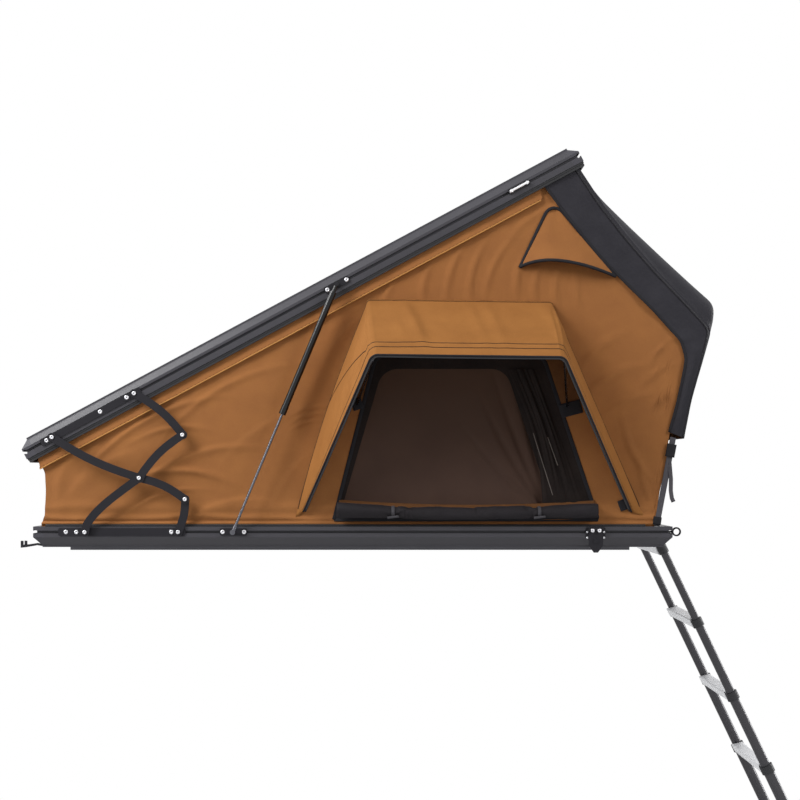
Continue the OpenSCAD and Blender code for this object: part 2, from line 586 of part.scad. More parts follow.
// Hoop of spring rod along the hem, just inside the cloth
hoop_c = [door_x, -y_wall - 60, zt + 200];
hoop_path = [for (p = hem_path) let (q = [p[0], -hem_y(p[1]), p[1]]) q + unit(hoop_c - q) * 7];
// Round rod along a path that lies near one plane with normal w
module rod_along(path, w, r, n) {
    m = len(path);
    rings = [for (i = [0:m - 1]) let (t = unit(path[min(i + 1, m - 1)] - path[max(i - 1, 0)]), v = unit(cross(w, t)))
        [for (k = [0:n - 1]) path[i] + r * (cos(360 * k / n) * w + sin(360 * k / n) * v)]];
    faces = concat([[for (k = [0:n - 1]) k]], [[for (k = [n - 1:-1:0]) (m - 1) * n + k]],
        [for (i = [0:m - 2], k = [0:n - 1]) let (l = (k + 1) % n) [i * n + k, (i + 1) * n + k, i * n + l]],
        [for (i = [0:m - 2], k = [0:n - 1]) let (l = (k + 1) % n) [i * n + l, (i + 1) * n + k, (i + 1) * n + l]]);
    polyhedron([for (q = rings) for (p = q) p], faces);
}
module hoop() {
    w = unit(cross(hoop_path[8] - hoop_path[0], hoop_path[len(hoop_path) - 1] - hoop_path[0]));
    color("#26262a") rod_along(hoop_path, w, 3.5, 8);
}
module awning_hoop_left() hoop();
module awning_hoop_right() mirror([0, 1, 0]) hoop();

// Flysheet over the rear: roof panel, hanging panel and side flaps
fly_ys = concat([-700], bow_ys, [700]);
y_fly = y_wall + 6.5;
fly_back = [[hl + 107, zt + 557], [hl + 68, zt + 426], [hl + 44, zt + 296]];
function fly_mid(y) = let (tip = rear_tip(y, bow_tube + 8), top = lid_at([lid_l - 20, -soft_c - cloth_t / 2]))
    concat([for (t = [0:0.2:0.8]) mix(top, tip, t) - [0, 5 * sin(180 * t)]], [tip], fly_back);
// Inner edges of the side flaps, one point for each row
fly_edge = [[hl - 429, zt + 1134], [hl - 358, zt + 1045], [hl - 259, zt + 923], [hl - 161, zt + 821],
    [hl - 59, zt + 720],
    [hl + 34, zt + 616], [hl + 46, zt + 562], [hl + 20, zt + 426], [hl - 10, zt + 318]];
function fly_side(i, k) = mix(fly_mid(700)[i], fly_edge[i], k);
function fly_row(i) = concat(
    [for (k = [1, 0.6, 0.2]) let (p = fly_side(i, k)) [p[0], -y_fly, p[1]]],
    [let (p = fly_side(i, 0.04)) [p[0], -y_fly + 3, p[1]]],
    [for (y = fly_ys) let (p = fly_mid(y)[i]) [p[0], y, p[1]]],
    [let (p = fly_side(i, 0.04)) [p[0], y_fly - 3, p[1]]],
    [for (k = [0.2, 0.6, 1]) let (p = fly_side(i, k)) [p[0], y_fly, p[1]]]);
module flysheet() color("#3a3a3d") cloth([for (i = [0:8]) fly_row(i)], cloth_t);
module fly_straps() color("#6d6a6c") left_right() {
    top = [hl + 8, zt + 300];
    foot = [hl - 48, zt + 2];
    d = unit(foot - top);
    side_plate(y_wall + cloth_t / 2 + soft_c, 2) polygon([top - [12, 0], top + [12, 0], foot + [14, 0], foot - [14, 0]]);
    side_plate(y_wall + cloth_t / 2 + soft_c, 6) translate(top + d * 36) rotate(dir_of(d)) strip_2d(44, 32, 4);
    side_plate(y_wall + cloth_t / 2 + soft_c, 5) translate(foot - d * 14) rotate(dir_of(d)) strip_2d(22, 36, 3);
}

// Latches, eye bolts and hooks
pin_y = hw + 10;
pin_z = slot_z + 10;
module latch_plates() color("#29292c") left_right() translate([latch_x, 0, 0]) {
    side_plate(hw, 2.5) translate([0, slot_z - 2]) strip_2d(latch_w, 34, 4);
    for (s = [-1, 1]) translate([s * 23 - 2.5, -pin_y - 6, pin_z - 6]) cube([5, pin_y - hw + 6, 12]);
    translate([-30, -pin_y, pin_z]) rotate([0, 90, 0]) cylinder(r = 3, h = 60);
}
module lever() color("#232326") translate([latch_x, -pin_y, pin_z]) difference() {
    union() {
        translate([-20, 0, 0]) rotate([0, 90, 0]) cylinder(r = 6, h = 40);
        translate([0, 4, 0]) rotate([90, 0, 0]) linear_extrude(4)
            polygon([[-20, 0], [-20, -9], [-lever_w / 2, -15], [-lever_w / 2, -0.7 * lever_l], [-7, -lever_l], [7, -lever_l],
                [lever_w / 2, -0.7 * lever_l], [lever_w / 2, -15], [20, -9], [20, 0]]);
        translate([0, 0, -0.5 * lever_l]) rotate([90, 0, 0]) cylinder(r = 9, h = 2.5);
    }
    translate([-25, 0, 0]) rotate([0, 90, 0]) cylinder(r = 3 + run_c, h = 50);
}
module latch_lever_left() lever();
module latch_lever_right() mirror([0, 1, 0]) lever();
module latch_keepers() color("#d5d6d8") in_lid() left_right() translate([latch_x, 0, lid_slot]) {
    side_plate(hw, 2.5) strip_2d(78, 20, 4);
    for (s = [-1, 1]) translate([s * 29 - 3, -hw - 13, -5]) cube([6, 13, 10]);
    translate([-36, -hw - 9, 0]) rotate([0, 90, 0]) cylinder(r = 4, h = 72);
}
module eye_bolts() color("#1f1f22") left_right() translate([hl, -yi - rail_d / 2, slot_z]) {
    rotate([0, 90, 0]) cylinder(r = 8, h = 3);
    translate([-cave_d + 2, 0, 0]) rotate([0, 90, 0]) cylinder(r = 3.2, h = cave_d + 2);
    translate([eye_r + 6, 0, 0]) rotate([90, 0, 0]) difference() {
        cylinder(r = eye_r + 5.5, h = 6, center = true);
        cylinder(r = eye_r, h = 7, center = true);
    }
}
module front_hooks() color("#1f1f22") left_right() translate([-xi - rail_foot, -yi + 30, zb]) rotate([90, 0, 0])
    linear_extrude(12) {
        polygon([[0, 0.5], [0, 5.5], [-24, 12], [-62, 6.5], [-62, -2], [-24, 4.5]]);
        polygon([[-81, -4], [-61, -2], [-61, 6.5], [-81, 6]]);
        polygon([[-81, -4], [-74, -3], [-74, 19], [-81, 19.5]]);
        polygon([[-68, -2], [-61, -2], [-61, 19], [-68, 20]]);
    }

// Ladder of sliding tubes
collar_h = 30;
function sec_z(k) = 40 + k * step_gap;
function sec_r(k) = tube_r + tube_grow * k;
module rail_pair() for (s = [-1, 1]) translate([0, s * ladder_y, 0]) children();
module section(k) color("#3b3a3e") in_ladder() rail_pair() {
    z0 = k == 0 ? 0 : sec_z(k) - collar_h / 2;
    z1 = k == ladder_n - 1 ? sec_z(k) + foot_l : sec_z(k + 1) + tube_lap;
    difference() {
        union() {
            translate([0, 0, z0]) cylinder(r = sec_r(k), h = z1 - z0);
            translate([0, 0, sec_z(k) - collar_h / 2]) cylinder(r = sec_r(k) + 5, h = collar_h);
            if (k == 0) rotate([90, 0, 0]) cylinder(r = sec_r(0), h = 2 * sec_r(0), center = true);
        }
        if (k == 0) {
            translate([0, 0, sec_z(0) + 20]) cylinder(r = sec_r(0) - tube_wall, h = z1);
            rotate([90, 0, 0]) cylinder(r = pin_r + run_c, h = 60, center = true);
        } else {
            translate([0, 0, z0 + 6]) cylinder(r = sec_r(k) - tube_wall, h = z1);
            translate([0, 0, z0 - 1]) cylinder(r = sec_r(k - 1) + 0.4, h = 10);
        }
    }
}
module step_bar(k) color("#d8d9da") in_ladder() difference() {
    translate([0, 0, sec_z(k)]) rotate([0, -90 - ladder_a, 0]) along_y(2 * ladder_y)
        polygon([[-30, 8], [-27, 13], [5, 21], [11, 20], [20, 0], [18, -5], [-11, -20], [-17, -18]]);
    rail_pair() translate([0, 0, sec_z(k) - 60]) cylinder(r = sec_r(k) + 5, h = 120);
}
module ladder_feet() color("#1f1f22") in_ladder() rail_pair() {
    r = sec_r(ladder_n - 1);
    translate([0, 0, sec_z(ladder_n - 1) + foot_l - 30]) difference() {
        cylinder(r = r + 4, h = 42);
        translate([0, 0, -1]) cylinder(r = r, h = 31);
    }
}
module ladder_rails_1() section(0);
module ladder_rails_2() section(1);
module ladder_rails_3() section(2);
module ladder_rails_4() section(3);
module ladder_rails_5() section(4);
module ladder_rails_6() section(5);
module ladder_rails_7() section(6);
module ladder_step_1() step_bar(0);
module ladder_step_2() step_bar(1);
module ladder_step_3() step_bar(2);
module ladder_step_4() step_bar(3);
module ladder_step_5() step_bar(4);
module ladder_step_6() step_bar(5);
module ladder_step_7() step_bar(6);
// Brackets on the rear rail that carry the ladder pins
module ladder_brackets() color("#29292c") rail_pair() {
    q = [hl + ladder_out, ladder_z];
    ear = sec_r(0) + soft_c;
    translate([hl, -ear - 5, slot_z - 16]) cube([4, 2 * ear + 10, 32]);
    for (s = [-1, 1]) translate([0, s * (ear + 2.5) + 2.5, 0]) rotate([90, 0, 0]) linear_extrude(5) {
        polygon([[hl, slot_z + 16], [hl + 8, slot_z + 16], q + [11, 5], q + [8, -8], q - [8, 8], [hl, slot_z - 16]]);
        translate(q) circle(11);
    }
    translate([q[0], 0, q[1]]) rotate([90, 0, 0]) cylinder(r = pin_r, h = 2 * ear + 8, center = true);
}

base_floor();
base_side_rails();
base_end_rails();
base_corners();
mounting_rails();
mattress();
base_hinge_plates();
base_strut_studs();
base_rivets();
latch_plates();
eye_bolts();
front_hooks();
ladder_brackets();
bow_brackets();
side_walls();
front_wall();
door_meshes();
door_rolls();
window_flaps();
fly_straps();
rear_bow();
rear_wall();
flysheet();
awning_left();
awning_right();
awning_hoop_left();
awning_hoop_right();
lid_panel();
lid_side_rails();
lid_end_rails();
lid_corners();
lid_seal();
lid_hinge_plates();
lid_strut_studs();
lid_rivets();
latch_keepers();
lower_arms();
upper_arms();
base_links();
lid_links();
strut_barrels();
strut_rods();
latch_lever_left();
latch_lever_right();
ladder_rails_1();
ladder_rails_2();
ladder_rails_3();
ladder_rails_4();
ladder_rails_5();
ladder_rails_6();
ladder_rails_7();
ladder_step_1();
ladder_step_2();
ladder_step_3();
ladder_step_4();
ladder_step_5();
ladder_step_6();
ladder_step_7();
ladder_feet();
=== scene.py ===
# %% [markdown]
# # A roof top tent
# Two aluminium frames, a base and a lid, carry cloth walls between them. The frames, hinge bars, gas struts and
# ladder come as ready solids and stay where they are: this lesson gives them their finishes. The cloth, seams,
# piping, straps and rivets are made here, as surfaces worked out with numpy. All lengths are metres, with X towards
# the ladder, Y away from the camera and Z up.

# %% Load the frame
import bmesh
import bpy
import numpy as np
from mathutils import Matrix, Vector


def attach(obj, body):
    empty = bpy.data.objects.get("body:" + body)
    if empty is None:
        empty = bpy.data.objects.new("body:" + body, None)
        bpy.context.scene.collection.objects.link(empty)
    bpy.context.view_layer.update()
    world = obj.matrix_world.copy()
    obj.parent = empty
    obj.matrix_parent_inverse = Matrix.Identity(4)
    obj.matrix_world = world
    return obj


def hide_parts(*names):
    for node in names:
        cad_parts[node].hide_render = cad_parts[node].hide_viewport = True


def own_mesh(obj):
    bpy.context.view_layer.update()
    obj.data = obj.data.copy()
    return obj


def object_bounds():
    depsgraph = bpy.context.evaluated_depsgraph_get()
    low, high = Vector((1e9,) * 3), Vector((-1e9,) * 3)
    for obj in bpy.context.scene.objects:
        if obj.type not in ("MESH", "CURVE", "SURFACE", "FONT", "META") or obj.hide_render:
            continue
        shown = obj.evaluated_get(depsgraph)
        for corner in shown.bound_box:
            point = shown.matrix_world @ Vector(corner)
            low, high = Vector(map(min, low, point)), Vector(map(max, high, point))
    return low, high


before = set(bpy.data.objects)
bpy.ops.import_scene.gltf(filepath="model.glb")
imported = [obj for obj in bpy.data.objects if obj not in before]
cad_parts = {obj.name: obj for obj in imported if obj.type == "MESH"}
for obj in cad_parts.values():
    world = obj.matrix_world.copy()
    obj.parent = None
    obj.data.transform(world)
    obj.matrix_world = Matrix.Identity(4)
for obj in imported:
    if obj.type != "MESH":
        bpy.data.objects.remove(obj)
cad_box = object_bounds()

# %% [markdown]
# The camera stands 4.9 m in front of the near side, a little above the base, and looks square at it. In the picture
# lines that run away from the camera meet at pixel (385, 470), so the lens is shifted by what that point lies from
# the middle. Turning the camera instead would make the upright edges lean.

# %% Camera
PICTURE, MEET, FOCAL = 800, (385, 470), 1459  # pixels
camera = bpy.data.objects.new("camera", bpy.data.cameras.new("camera"))
bpy.context.scene.collection.objects.link(camera)
camera.location = (0.108, -5.625, 0.285)
camera.rotation_euler = (np.pi / 2, 0, 0)
camera.data.sensor_width = 36
camera.data.lens = 36 * FOCAL / PICTURE
camera.data.shift_x = (PICTURE / 2 - MEET[0]) / PICTURE
camera.data.shift_y = (MEET[1] - PICTURE / 2) / PICTURE
bpy.context.scene.camera = camera
bpy.context.scene.view_settings.view_transform = "Standard"
print("lens", round(camera.data.lens, 1), "mm")

# %% [markdown]
# A material is a small tree of nodes. One function adds a node, sets its plain values and links what comes from other
# nodes. Colours are written as they look on a screen, and one function turns them into the linear values of a
# renderer.

# %% Helpers for materials
def linear(code):
    """Linear colour of an sRGB hex code: below 0.04045 a straight line, above it a power of 2.4."""
    c = np.array([int(code[i:i + 2], 16) for i in (1, 3, 5)]) / 255
    return (*np.where(c <= 0.04045, c / 12.92, ((c + 0.055) / 1.055) ** 2.4), 1.0)


def add(tree, kind, settings=None, **sockets):
    """One shader node. Settings are its options; a socket is named by its label with _ for a blank, or by its number."""
    n = tree.nodes.new("ShaderNode" + kind)
    for k, v in (settings or {}).items():
        setattr(n, k, v)
    for k, v in sockets.items():
        s = n.inputs[int(k[1:])] if k[0] == "n" and k[1:].isdigit() else n.inputs[k.replace("_", " ")]
        if isinstance(v, bpy.types.NodeSocket):
            tree.links.new(v, s)
        else:
            s.default_value = v
    return n


def material(name, **sockets):
    """A new material with one Principled shader; returns it with its tree and shader."""
    m = bpy.data.materials.new(name)
    m.use_nodes = True
    shader = m.node_tree.nodes["Principled BSDF"]
    for k, v in sockets.items():
        shader.inputs[k.replace("_", " ")].default_value = v
    return m, m.node_tree, shader


def wire(tree, shader, **links):
    """Links sockets to the shader's inputs by label."""
    for k, v in links.items():
        tree.links.new(v, shader.inputs[k.replace("_", " ")])


print("white is", linear("#FFFFFF")[0])

# %% [markdown]
# A few nodes come back in every finish, each with a short function of its own: where a point lies, a sum, a change of
# range, clouds, waves, a mix of two colours and a bump. Sizes are given in metres, as on the real cloth or metal.

# %% Patterns in materials
def coords(tree, kind="Object"):
    """Where the shaded point lies: in Object coordinates or on the piece's own UV map, both in metres."""
    return add(tree, "TexCoord").outputs[kind]


def sums(tree, operation, *numbers):
    """One operation on one, two or three numbers."""
    return add(tree, "Math", {"operation": operation}, **{f"n{i}": v for i, v in enumerate(numbers)}).outputs[0]


def spread(tree, value, settings=None, **ends):
    """A value moved from one range to another, by default from and to 0..1."""
    return add(tree, "MapRange", settings, Value=value, **ends).outputs[0]


def noise(tree, at, scale, detail=3.0, rough=0.5):
    """Cloudy noise from 0 to 1, with so many clouds to the metre."""
    return add(tree, "TexNoise", Vector=at, Scale=scale, Detail=detail, Roughness=rough).outputs["Fac"]


def waves(tree, at, way, step, wobble, detail=2.0):
    """Waves across one direction that repeat at each step; a wave of scale 1 repeats each 0.3142 units."""
    wave = add(tree, "TexWave", {"bands_direction": way}, Vector=at, Scale=0.3142 / step, Distortion=wobble,
               Detail=detail)
    return wave.outputs["Fac"]


def shade(tree, share, dark, light):
    """Colour between two sRGB codes at a share from 0 to 1; the dark end may come from another node."""
    dark = dark if isinstance(dark, bpy.types.NodeSocket) else linear(dark)
    return add(tree, "Mix", {"data_type": "RGBA"}, n0=share, n6=dark, n7=linear(light)).outputs[2]


def bump(tree, height, strength, deep):
    """Normal of a skin raised by a height map, so deep in metres."""
    return add(tree, "Bump", Strength=strength, Distance=deep, Height=height).outputs["Normal"]


print("a weave of 3 mm is a wave of scale", round(0.3142 / 0.003, 1))

# %% [markdown]
# A new surface is a grid of points: rows and columns of two parameters. Points are stacked from their columns, and
# neighbours are joined into four-sided faces. Lengths and areas are measured on the same arrays.

# %% Helpers for surfaces
def ramp(n):
    """n numbers at even steps from 0 to 1."""
    return np.linspace(0, 1, n)


def grid(rows, columns):
    """Two arrays of one shape: the first holds the rows' values, the second the columns'."""
    return np.meshgrid(rows, columns, indexing="ij")


def join(*columns):
    """Points from their coordinates: arrays or numbers that fit together, stacked along a new last axis."""
    return np.stack(np.broadcast_arrays(*columns), -1)


def unit(v):
    """Vectors divided by their lengths."""
    return v / np.linalg.norm(v, axis=-1, keepdims=True)


def run_of(points, axis=0):
    """Length travelled from the first point to each point: a running sum of the steps along one axis."""
    step = np.linalg.norm(np.diff(points, axis=axis), axis=-1)
    return np.concatenate([np.zeros_like(step.take([0], axis)), step.cumsum(axis)], axis)


def walk(at, run, points):
    """Points at given lengths of the way along straight legs between points, whose own lengths are run."""
    return np.stack([np.interp(at, run, c) for c in points.T], -1)


def quads(n, m, ring=False):
    """Faces of a grid of n rows and m columns, counted row by row; a ring joins its last column to its first."""
    i, j = grid(np.arange(n - 1), np.arange(m if ring else m - 1))
    k = (j + 1) % m
    return join(i * m + j, (i + 1) * m + j, (i + 1) * m + k, i * m + k).reshape(-1, 4)


print("a grid of 3 by 4 points has", len(quads(3, 4)), "faces")

# %% [markdown]
# The tent floats before plain white. The world is white to the camera and a softer grey to everything else, so that
# cloth and dark paint keep their depth. Two soft boxes stand high at the sides, the left one stronger: the hood's
# sides and top are the lightest cloth, what lies under the hood is dark, and the wall darkens to the right. One lamp
# over the front end makes the lid's upper edge shine. A tall lamp at the left draws a thin light along the struts,
# and one behind the right end lights the edges of the ladder's tubes and the back of the flysheet. The floor is far
# below, at the ladder's feet: near the ladder it shows the shadow, and it fades to white with distance, so it meets
# the background without a line.

# %% World, lamps and floor
def seen_directly(tree):
    """1 for rays from the camera, through glass or off a mirror, and 0 for all others: the largest of the three."""
    ray = add(tree, "LightPath").outputs
    straight = sums(tree, "MAXIMUM", ray["Is Camera Ray"], ray["Is Transmission Ray"])
    return sums(tree, "MAXIMUM", straight, ray["Is Glossy Ray"])


def lamp(name, place, target, size, power):
    """A flat lamp of a width and height at a place, turned towards a target."""
    data = bpy.data.lights.new(name, "AREA")
    data.shape = "RECTANGLE"
    data.size, data.size_y = size
    data.energy = power
    ob = bpy.data.objects.new(name, data)
    bpy.context.scene.collection.objects.link(ob)
    ob.location = place
    way = Vector(target) - Vector(place)
    ob.rotation_euler = way.to_track_quat("-Z", "Y").to_euler()


world = bpy.data.worlds.new("studio")
bpy.context.scene.world = world
world.use_nodes = True
t = world.node_tree
soft = add(t, "Background", Color=(1, 1, 1, 1), Strength=0.25)
white = add(t, "Background", Color=(1, 1, 1, 1), Strength=1.0)
mixed = add(t, "MixShader", Fac=seen_directly(t), n1=soft.outputs[0], n2=white.outputs[0])
t.links.new(mixed.outputs[0], t.nodes["World Output"].inputs["Surface"])

lamp("left_box", (-3.4, -3.2, 3.9), (-0.1, 0, 0.5), (2.0, 2.4), 240)
lamp("right_box", (3.9, -3.4, 3.0), (0.4, 0, 0.4), (1.8, 2.4), 105)
lamp("lid_glint", (-3.4, 0.2, 3.4), (-0.5, -0.4, 0.6), (2.0, 2.0), 60)
lamp("left_strip", (-4.2, -3.0, 1.9), (0.0, 0, 0.5), (1.0, 2.8), 75)
lamp("right_rim", (4.2, 1.0, 0.2), (1.2, 0, -0.2), (0.5, 3.4), 85)

FLOOR_Z, REACH, TILES = float(cad_box[0][2]) - 0.002, 12, 25
fx, fy = grid(*[np.linspace(-REACH, REACH, TILES)] * 2)
floor_mesh = bpy.data.meshes.new("floor")
floor_mesh.from_pydata(join(fx, fy, FLOOR_Z).reshape(-1, 3).tolist(), [], quads(TILES, TILES).tolist())
floor = bpy.data.objects.new("floor", floor_mesh)
bpy.context.scene.collection.objects.link(floor)
m, t, shader = material("matt_white_floor", Base_Color=linear("#E6E6E6"), Roughness=0.9)
far = add(t, "VectorMath", {"operation": "LENGTH"}, n0=coords(t)).outputs["Value"]
fade = spread(t, far, {"interpolation_type": "SMOOTHSTEP"}, From_Min=2.6, From_Max=4.2)
glow = add(t, "Emission", Color=(1, 1, 1, 1), Strength=1.0)
fade = sums(t, "MULTIPLY", fade, seen_directly(t))
mixed = add(t, "MixShader", Fac=fade, n1=shader.outputs[0], n2=glow.outputs[0])
t.links.new(mixed.outputs[0], t.nodes["Material Output"].inputs["Surface"])
floor_mesh.materials.append(m)
print("floor at", round(FLOOR_Z, 3))

# %% [markdown]
# ## Finishes
# The wall cloth is a dyed poly-cotton canvas in plain weave with a water-repellent coat: matt, with small shifts of
# shade from the dye, and a fine weave. Real threads lie 0.5 mm apart; they are drawn at 3 mm so that they show at
# all. The pattern follows the cloth through its own UV map, in metres. The hood's canvas is painted a little yellower
# than the walls: painted light, standing in for the daylight that shines through the thin hood from behind.

# %% Woven cloth
def woven(name, light, dark, thread, rough, sheen=0.0, grain=0.35):
    """Cloth: two crossed waves of one thread spacing give the bump; blotches of dye, 90 mm wide, mix two shades."""
    m, t, shader = material(name, Roughness=rough, Sheen_Weight=sheen, Sheen_Roughness=0.5, Specular_IOR_Level=0.1)
    uv = coords(t, "UV")
    warp, weft = (waves(t, uv, way, thread, 0.6, 1.0) for way in "XY")
    dye, fine = noise(t, uv, 1 / 0.09, 5.0, 0.6), noise(t, uv, 0.5 / thread, 2.0)
    mix = sums(t, "MULTIPLY_ADD", fine, 0.35, dye)
    colour = shade(t, spread(t, mix, From_Min=0.42, From_Max=0.92), dark, light)
    wire(t, shader, Base_Color=colour, Normal=bump(t, sums(t, "MAXIMUM", warp, weft), grain, 0.0008))
    return m


canvas = woven("poly_cotton_canvas_brown", "#9B673B", "#8F5E37", 0.003, 0.85)
# painted light: the hood's canvas is a yellower copy of the wall canvas, standing in for daylight through the thin hood
hood_canvas_painted_backlight = woven("poly_cotton_canvas_hood_painted_backlight", "#9C6938", "#8F5F32", 0.003, 0.85)
fly_cloth = woven("coated_polyester_black", "#343338", "#2A292E", 0.005, 0.6, grain=0.25)
roll_cloth = woven("nylon_dark", "#2A272A", "#211F21", 0.004, 0.65, grain=0.3)
# painted shade: a darker brown for the door's face on the roll and for the sheets on the wall under the hood
shade_lining = woven("door_lining_painted_shade", "#6A472B", "#583A22", 0.003, 0.85)
curtain_cloth = woven("voile_brown_black", "#292220", "#1D1817", 0.004, 0.7, grain=0.3)
quilt = woven("mattress_cover_grey", "#77726D", "#66615C", 0.004, 0.9, 0.2, 0.5)
print("cloths:", canvas.name, fly_cloth.name, roll_cloth.name, quilt.name)

# %% [markdown]
# Tape, piping and straps are polyester webbing, woven so tightly that ribs run across them. The door is an insect
# screen: too fine to draw hole by hole, so it lets a little light through. Its
# lower part is greyer and cloudy, its upper part an even, warmer brown.

# %% Webbing, thread and screen
def webbing(name, light, dark, rib):
    """Webbing: ribs across the length, as waves on the strip's own UV map."""
    m, t, shader = material(name, Roughness=0.7, Specular_IOR_Level=0.2)
    ribs = waves(t, coords(t, "UV"), "X", rib, 0.3)
    wire(t, shader, Base_Color=shade(t, ribs, dark, light), Normal=bump(t, ribs, 0.5, 0.0006))
    return m


black_tape = webbing("polyester_binding_black", "#222125", "#19181C", 0.003)
loop_tape = webbing("elastic_loop_grey", "#48464A", "#39373B", 0.003)
grey_strap = webbing("polypropylene_webbing_grey", "#57555A", "#454348", 0.004)
thread_tan = webbing("sewing_thread_tan", "#85572F", "#6F4726", 0.002)
# painted highlight: a lighter golden canvas for the lit fold of the band's hem
hem_painted_highlight = webbing("canvas_hem_fold_painted_highlight", "#B98448", "#AD7A41", 0.003)
# dark thread and painted shade: drawn 5 mm wide and dark, it also stands for the shade in the seams' grooves
seam_thread_and_shade = webbing("sewing_thread_brown_and_seam_shade", "#4C2F18", "#3E2613", 0.002)
screen, t, shader = material("insect_screen", Roughness=0.75, Alpha=0.97, Specular_IOR_Level=0.2)
uv = coords(t, "UV")
height = add(t, "SeparateXYZ", n0=uv).outputs["Y"]
fall = spread(t, height, {"interpolation_type": "SMOOTHSTEP"}, From_Min=0.22, From_Max=0.66)
lower = shade(t, noise(t, uv, 9.0), "#412F28", "#4E3A30")
wire(t, shader, Base_Color=shade(t, fall, lower, "#4B362A"),
     Normal=bump(t, waves(t, uv, "DIAGONAL", 0.004, 0.2), 0.2, 0.0005))
print("tapes:", black_tape.name, grey_strap.name, "and", screen.name)

# %% [markdown]
# Metals and rubber read Object coordinates, because the solids carry no map. The rails are powder coated: a dark
# satin skin with a fine orange peel of about 1.5 mm. Rods are hard chrome, rivets zinc plated, steps bare drawn
# aluminium with lines along the step.

# %% Metals, paint and rubber
def coated(name, light, dark, rough, metal, peel, depth=0.3, coat=0.0, shine=0.5):
    """Painted or coated metal: grit of a real size bumps it, and wear shifts its shade and gloss a little."""
    m, t, shader = material(name, Metallic=metal, Coat_Weight=coat, Coat_Roughness=0.05, Specular_IOR_Level=shine)
    at = coords(t)
    wear = noise(t, at, 9.0, 6.0, 0.65)
    gloss = spread(t, wear, From_Min=0.3, From_Max=0.7, To_Min=rough - 0.06, To_Max=rough + 0.08)
    wire(t, shader, Base_Color=shade(t, wear, dark, light), Roughness=gloss,
         Normal=bump(t, noise(t, at, 1 / peel), depth, 0.0004))
    return m


def drawn(name, light, dark, rough, across, along, axis, metal=1.0):
    """Drawn or brushed metal: noise stretched along one axis, about `across` wide and `along` long."""
    m, t, shader = material(name, Metallic=metal)
    size = [1 / across] * 3
    size[axis] = 1 / along
    lines = noise(t, add(t, "Mapping", Vector=coords(t), Scale=size).outputs[0], 1.0)
    wire(t, shader, Base_Color=shade(t, lines, dark, light), Normal=bump(t, lines, 0.04, 0.0002),
         Roughness=spread(t, lines, To_Min=rough - 0.08, To_Max=rough + 0.1))
    return m


rail_skin = coated("powder_coat_dark_grey", "#424146", "#39383D", 0.36, 0.0, 0.0015, 0.05, shine=0.3)
corner_skin = coated("cast_aluminium_grey", "#46454B", "#3C3B41", 0.5, 0.1, 0.002, 0.1, shine=0.3)
black_steel = coated("black_e_coat_steel", "#201F24", "#18171C", 0.5, 0.0, 0.0012, 0.15, shine=0.22)
lid_skin = coated("textured_sheet_black", "#353438", "#2B2A2E", 0.6, 0.1, 0.003, 0.5)
board_skin = coated("film_faced_board", "#3A3633", "#2E2B28", 0.6, 0.0, 0.004, 0.3)
rack_skin = coated("anodised_channel", "#5D5D62", "#515156", 0.4, 0.7, 0.001)
strut_black = coated("gloss_black_paint", "#0B0B0D", "#08080A", 0.2, 0.0, 0.004, 0.02, 0.5, 0.1)
rubber = coated("epdm_rubber", "#222225", "#1A1A1C", 0.75, 0.0, 0.002)
zinc = coated("zinc_plated_steel", "#D6D6DA", "#C2C2C6", 0.34, 0.6, 0.001)
spring_black = coated("black_spring_rod", "#2A2A2E", "#202024", 0.4, 0.1, 0.002)
chrome = drawn("hard_chrome_rod", "#6C6C72", "#56565C", 0.24, 0.0006, 0.02, 2)
step_alloy = drawn("drawn_aluminium", "#F0F1F4", "#E6E7EA", 0.45, 0.0016, 0.2, 1, 0.3)
bow_alloy = drawn("anodised_tube", "#A9AAB0", "#96979D", 0.35, 0.001, 0.03, 1)
print("metal finishes:", rail_skin.name, chrome.name, step_alloy.name, "and ten more")

# %% [markdown]
# Two solids carry two finishes each, told apart by where a point lies. A plastic collar sits at each joint of the
# ladder's tubes, every 300 mm along them, darker and duller than the coated tube. Each latch keeper is a bright bar
# on a dark plate, and the bar is what stands out furthest.

# %% Ladder tubes and latch keepers
LADDER_WAY, STEP, FIRST_COLLAR, COLLAR = (0.4305, 0, -0.9026), 0.3, 0.45736 - 0.11, 0.032
tube_skin, t, shader = material("ladder_tube_coat", Metallic=0.3)
at = coords(t)
run = add(t, "VectorMath", {"operation": "DOT_PRODUCT"}, n0=at, n1=LADDER_WAY).outputs["Value"]
run = sums(t, "FLOORED_MODULO", sums(t, "SUBTRACT", run, FIRST_COLLAR), STEP)
run = sums(t, "ABSOLUTE", sums(t, "SUBTRACT", run, STEP / 2))
collar = sums(t, "LESS_THAN", run, COLLAR / 2)
wire(t, shader, Base_Color=shade(t, collar, "#3C3B3F", "#29292C"), Normal=bump(t, noise(t, at, 260.0), 0.04, 0.0004),
     Roughness=spread(t, collar, To_Min=0.28, To_Max=0.55))
keeper_skin, t, shader = material("keeper_bar_and_plate", Metallic=0.6, Roughness=0.35)
out = sums(t, "ABSOLUTE", add(t, "SeparateXYZ", n0=coords(t)).outputs["Y"])
wire(t, shader, Base_Color=shade(t, sums(t, "GREATER_THAN", out, 0.7292), "#232226", "#F2F2F4"))
print("collars sit every", STEP, "m along the ladder tubes")

# %% [markdown]
# Every rigid solid keeps its shape and place and only gets its finish. One table says which solids are made of what,
# so a change of paint is a change of one line.

